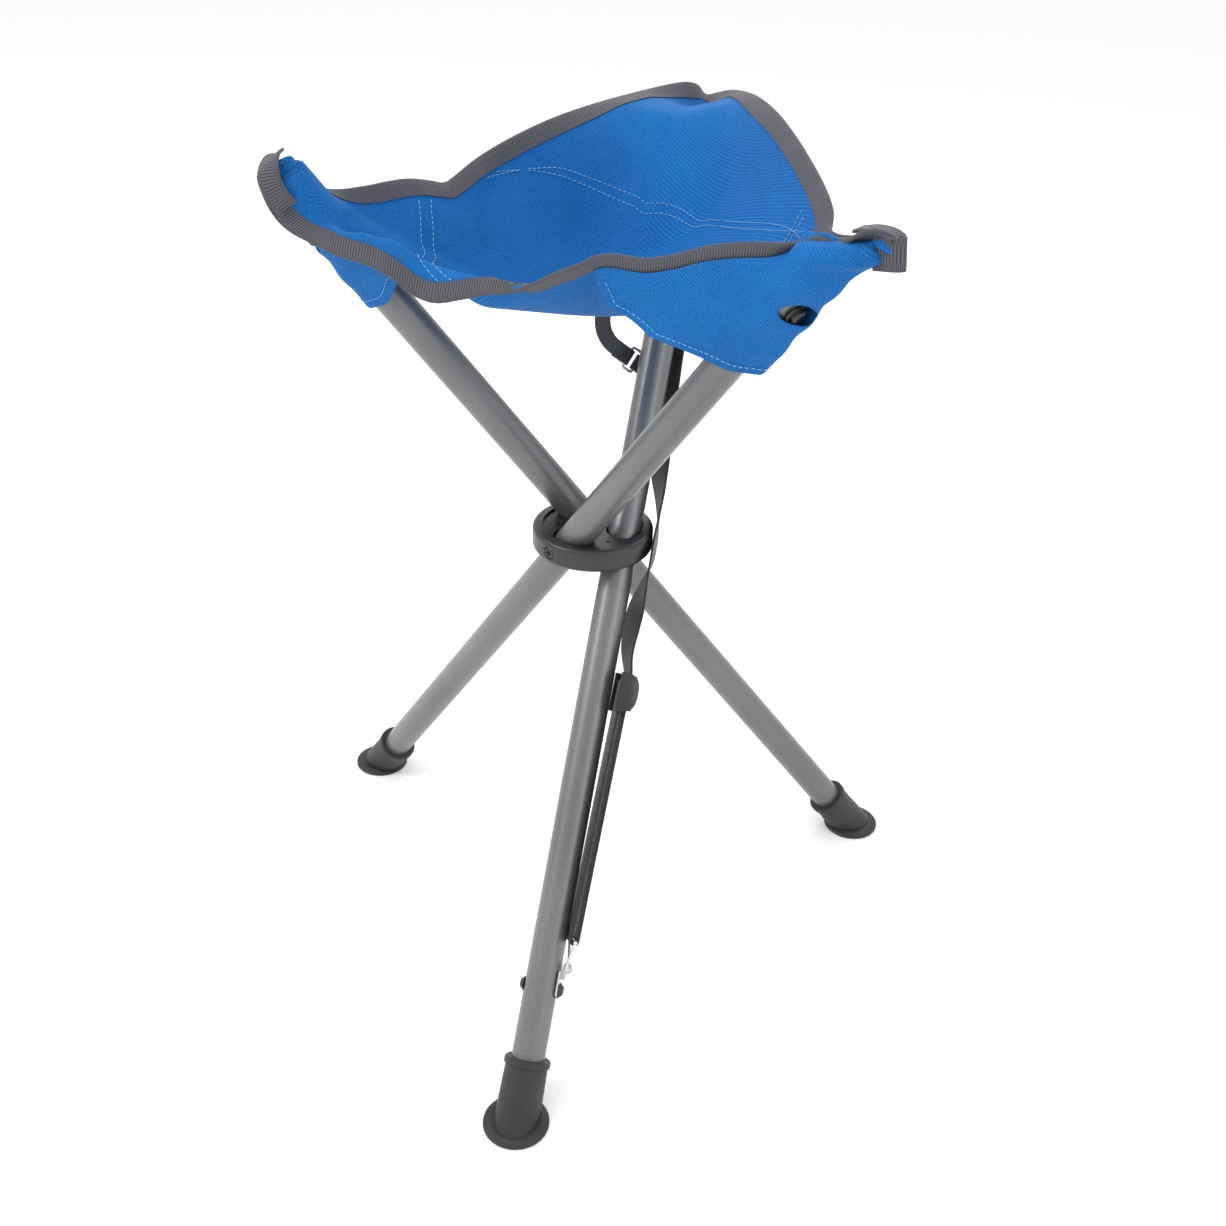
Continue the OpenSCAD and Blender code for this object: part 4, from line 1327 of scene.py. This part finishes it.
DOUBLE_TOP, DOUBLE_END = np.array([18.4, 2, -94.0]), np.array([15, 0, -266.17])
DOUBLE_TWIST = -20
double_len = np.linalg.norm(DOUBLE_END - DOUBLE_TOP)
double_dir = (DOUBLE_END - DOUBLE_TOP) / double_len
double_turn = math.radians(DOUBLE_TWIST)
double_normal = np.array([math.cos(double_turn), -math.sin(double_turn), 0])
double_rings = [double_len * i / 6 for i in range(7)]
STRAP_UPPER = [
    (5, 12, 190, -67, 0), (5.2, 12, 170, -66, 0), (6, 12, 150, -63, 0), (7, 12, 130, -59, 0),
    (8.2, 12, 110, -56, 0), (9.7, 11.8, 90, -52, 0), (11.8, 11.4, 70, -46, 0), (14.8, 10.6, 50, -37, 0),
    (18.6, 8.6, 32, -22, 0), (20.8, 6, 16, -10, 0), (21.4, 4, 0, -5, 0), (21.2, 4, -14, -8, 0),
    (18.2, 7, -30, -24, 0), (15.4, 9.6, -46, -38, 0), (15, 8.6, -62, -36, 0), (17, 4.4, -78, -26, 0),
]
strap_rows = STRAP_UPPER + round_bar(
    DOUBLE_END, double_dir, double_normal, (DOUBLE_TWIST, 0), double_rings[::-1], double_rings)
shoulder = ribbon("shoulder_strap_web", strap_rows, STRAP_W / MM, STRAP_T, webbing)
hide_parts("shoulder_strap")
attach(shoulder, "leg_1")

# Slider on the doubled strap: two cheeks rounded on their outer side, joined by three bars. In millimetres:
# sides of a cheek across the strap, its reach, its back and half its length along the strap
CHEEK_IN, CHEEK_OUT, CHEEK_REACH, CHEEK_BACK, CHEEK_HALF = 13.0, 16.0, 13.0, -5.05, 13.0
BAR_SPOTS, BAR_HALF_X, BAR_HALF_Z, BAR_IN_CHEEK = ((0, 0), (4.75, 9.5), (4.75, -9.5)), 1.1, 2, 0.3
slider_up = -double_dir
slider_side = width_way(DOUBLE_TWIST, 0)
slider_side = unit(slider_side - slider_up * (slider_side @ slider_up))
slider_out = np.cross(slider_side, slider_up)
slider_out = slider_out * np.sign(slider_out @ double_normal)
slider_middle = DOUBLE_TOP + double_dir * 8


def add_prism(points, faces, outline, side_from, side_to):
    """Adds the outline, given out from the strap and along it, drawn out from one side to the other."""
    start, count = len(points), len(outline)
    for side in (side_from, side_to):
        for x, z in outline:
            points.append(on_leg(1, slider_middle + slider_out * x + slider_up * z + slider_side * side))
    faces += [tuple(range(start, start + count)), tuple(range(start + 2 * count - 1, start + count - 1, -1))]
    for i in range(start, start + count):
        following = start + (i - start + 1) % count
        faces.append((i, i + count, following + count, following))


cheek = [(CHEEK_BACK, -CHEEK_HALF)]
for height in np.sin(np.linspace(-1.57, 1.57, 33)):
    cheek.append((CHEEK_BACK + CHEEK_REACH * (1 - abs(height) ** 3) ** (1 / 3), CHEEK_HALF * height))
cheek.append((CHEEK_BACK, CHEEK_HALF))
slider_points, slider_faces = [], []
add_prism(slider_points, slider_faces, cheek, CHEEK_IN, CHEEK_OUT)
add_prism(slider_points, slider_faces, cheek, -CHEEK_OUT, -CHEEK_IN)
for x, z in BAR_SPOTS:
    bar = [(x + BAR_HALF_X * i, z + BAR_HALF_Z * j) for i, j in ((-1, -1), (1, -1), (1, 1), (-1, 1))]
    add_prism(slider_points, slider_faces, bar, -CHEEK_IN - BAR_IN_CHEEK, CHEEK_IN + BAR_IN_CHEEK)
slider_body = piece_from("strap_slider_body", slider_points, slider_faces, slider_plastic)
recalculate(slider_body)
softened = slider_body.modifiers.new("softened", "BEVEL")
softened.width = 0.5 * MM
softened.segments = 2
softened.limit_method = "ANGLE"
apply_modifiers(slider_body)
soft_shade(slider_body, 35)
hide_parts("strap_slider")
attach(slider_body, "slider")

# Closure strap: it comes down beside leg 1 to a wire loop, which the tail behind the leg goes round too
RING_MID = np.array([-17.5, 6.5, 124])
RING_RISE, RING_SWING, RING_HALF = 68, 35, 4
ring_width = width_way(90, RING_RISE)
rise, swing = math.radians(RING_RISE), math.radians(RING_SWING)
ring_dir = np.array([math.sin(rise) * math.cos(swing), math.sin(swing), -math.cos(rise) * math.cos(swing)])
ring_normal = np.cross(ring_dir, ring_width)
CLOSURE_UPPER = [
    (-22, -2, 203, 70, 0), (-29, -2.5, 190, 80, 0), (-36, -2, 174, 90, 0), (-40.5, -1.5, 160, 90, 3),
    (-41.5, -1.5, 149, 90, 12), (-38.5, -2, 139, 90, 35), (-33, -2, 132, 90, 55),
]
CLOSURE_UNDER = [
    (4, 15.5, 214, 90, 180), (4, 16.5, 204, 90, 180), (4, 19.4, 193, 90, 180), (4, 19.6, 170, 90, 180),
    (4, 20, 150, 90, 174), (3, 20.4, 136, 90, 155), (-1, 21.8, 127, 90, 125), (-8, 19.6, 122.5, 90, 85),
]
upper_rows = CLOSURE_UPPER + round_bar(
    RING_MID - ring_dir * RING_HALF, ring_dir, ring_normal, (90, RING_RISE), (8, 4, 0), (0, 5, 10))
under_rows = CLOSURE_UNDER + round_bar(
    RING_MID + ring_dir * RING_HALF, -ring_dir, -ring_normal, (90, RING_RISE), (6, 3, 0), (0, 4, 8))
closure = ribbon("closure_strap_web", upper_rows, CLOSURE_W / MM, STRAP_T, narrow_webbing, step=1.2, across=7)
tail = ribbon("closure_tail_web", under_rows, CLOSURE_W / MM, STRAP_T, narrow_webbing, step=1.2, across=7)
along_ring, across_ring = ring_dir * RING_HALF, ring_width * (CLOSURE_W / MM / 2 + WIRE_D)
RING_CORNERS = ((1, -1), (1, 1), (-1, 1), (-1, -1))
ring_corners = [RING_MID + across_ring * i + along_ring * j for i, j in RING_CORNERS]
loop = wire_piece("closure_wire_ring", ring_corners, WIRE_D / 2, 1.6, hook_steel)
CLOSURE_PIECES = (
    (closure, "closure_strap", "webbing"), (tail, "closure_tail", "webbing"),
    (loop, "closure_ring", "hook_steel"),
)
for piece, node, slot_name in CLOSURE_PIECES:
    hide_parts(node)
    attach(piece, "leg_1")
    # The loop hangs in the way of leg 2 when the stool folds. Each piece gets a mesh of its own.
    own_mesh(piece)

# ---------------------------------------------------------------- seat pieces in place

all_seam_rows = [row for k in LEGS for row in seam_rows(k)]
for k in LEGS:
    third = third_of_seat(k)
    tape = tape_piece(k)
    pocket, pocket_rows, row_lengths = pocket_piece(k)
    sewn_rows = [[(place, out) for place, out, owner in row if owner == k] for row in all_seam_rows]
    seam = stitches(f"patch_seam_{k}", [row for row in sewn_rows if len(row) > 3])
    hem = stitches(f"pocket_hem_stitch_{k}", hem_rows(k, pocket_rows))
    binding = corner_binding(k)
    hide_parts(f"pocket_{k}")
    if k == 1:
        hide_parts("seat_panel")
        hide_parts("edge_tape")
    cut_width = side_between(*beside(k)) / 2
    AREA / 3 * 2 / cut_width
    if k in END_CAP:
        cap = end_cap(k)
        follow(cap)
    sewn_on = (
        (third, "seat_cloth"), (tape, "edge_binding"), (pocket, "seat_cloth"), (seam, "seat_cloth"),
        (hem, "seat_cloth"), (binding, "edge_binding"),
    )
    for piece, slot_name in sewn_on:
        follow(piece)
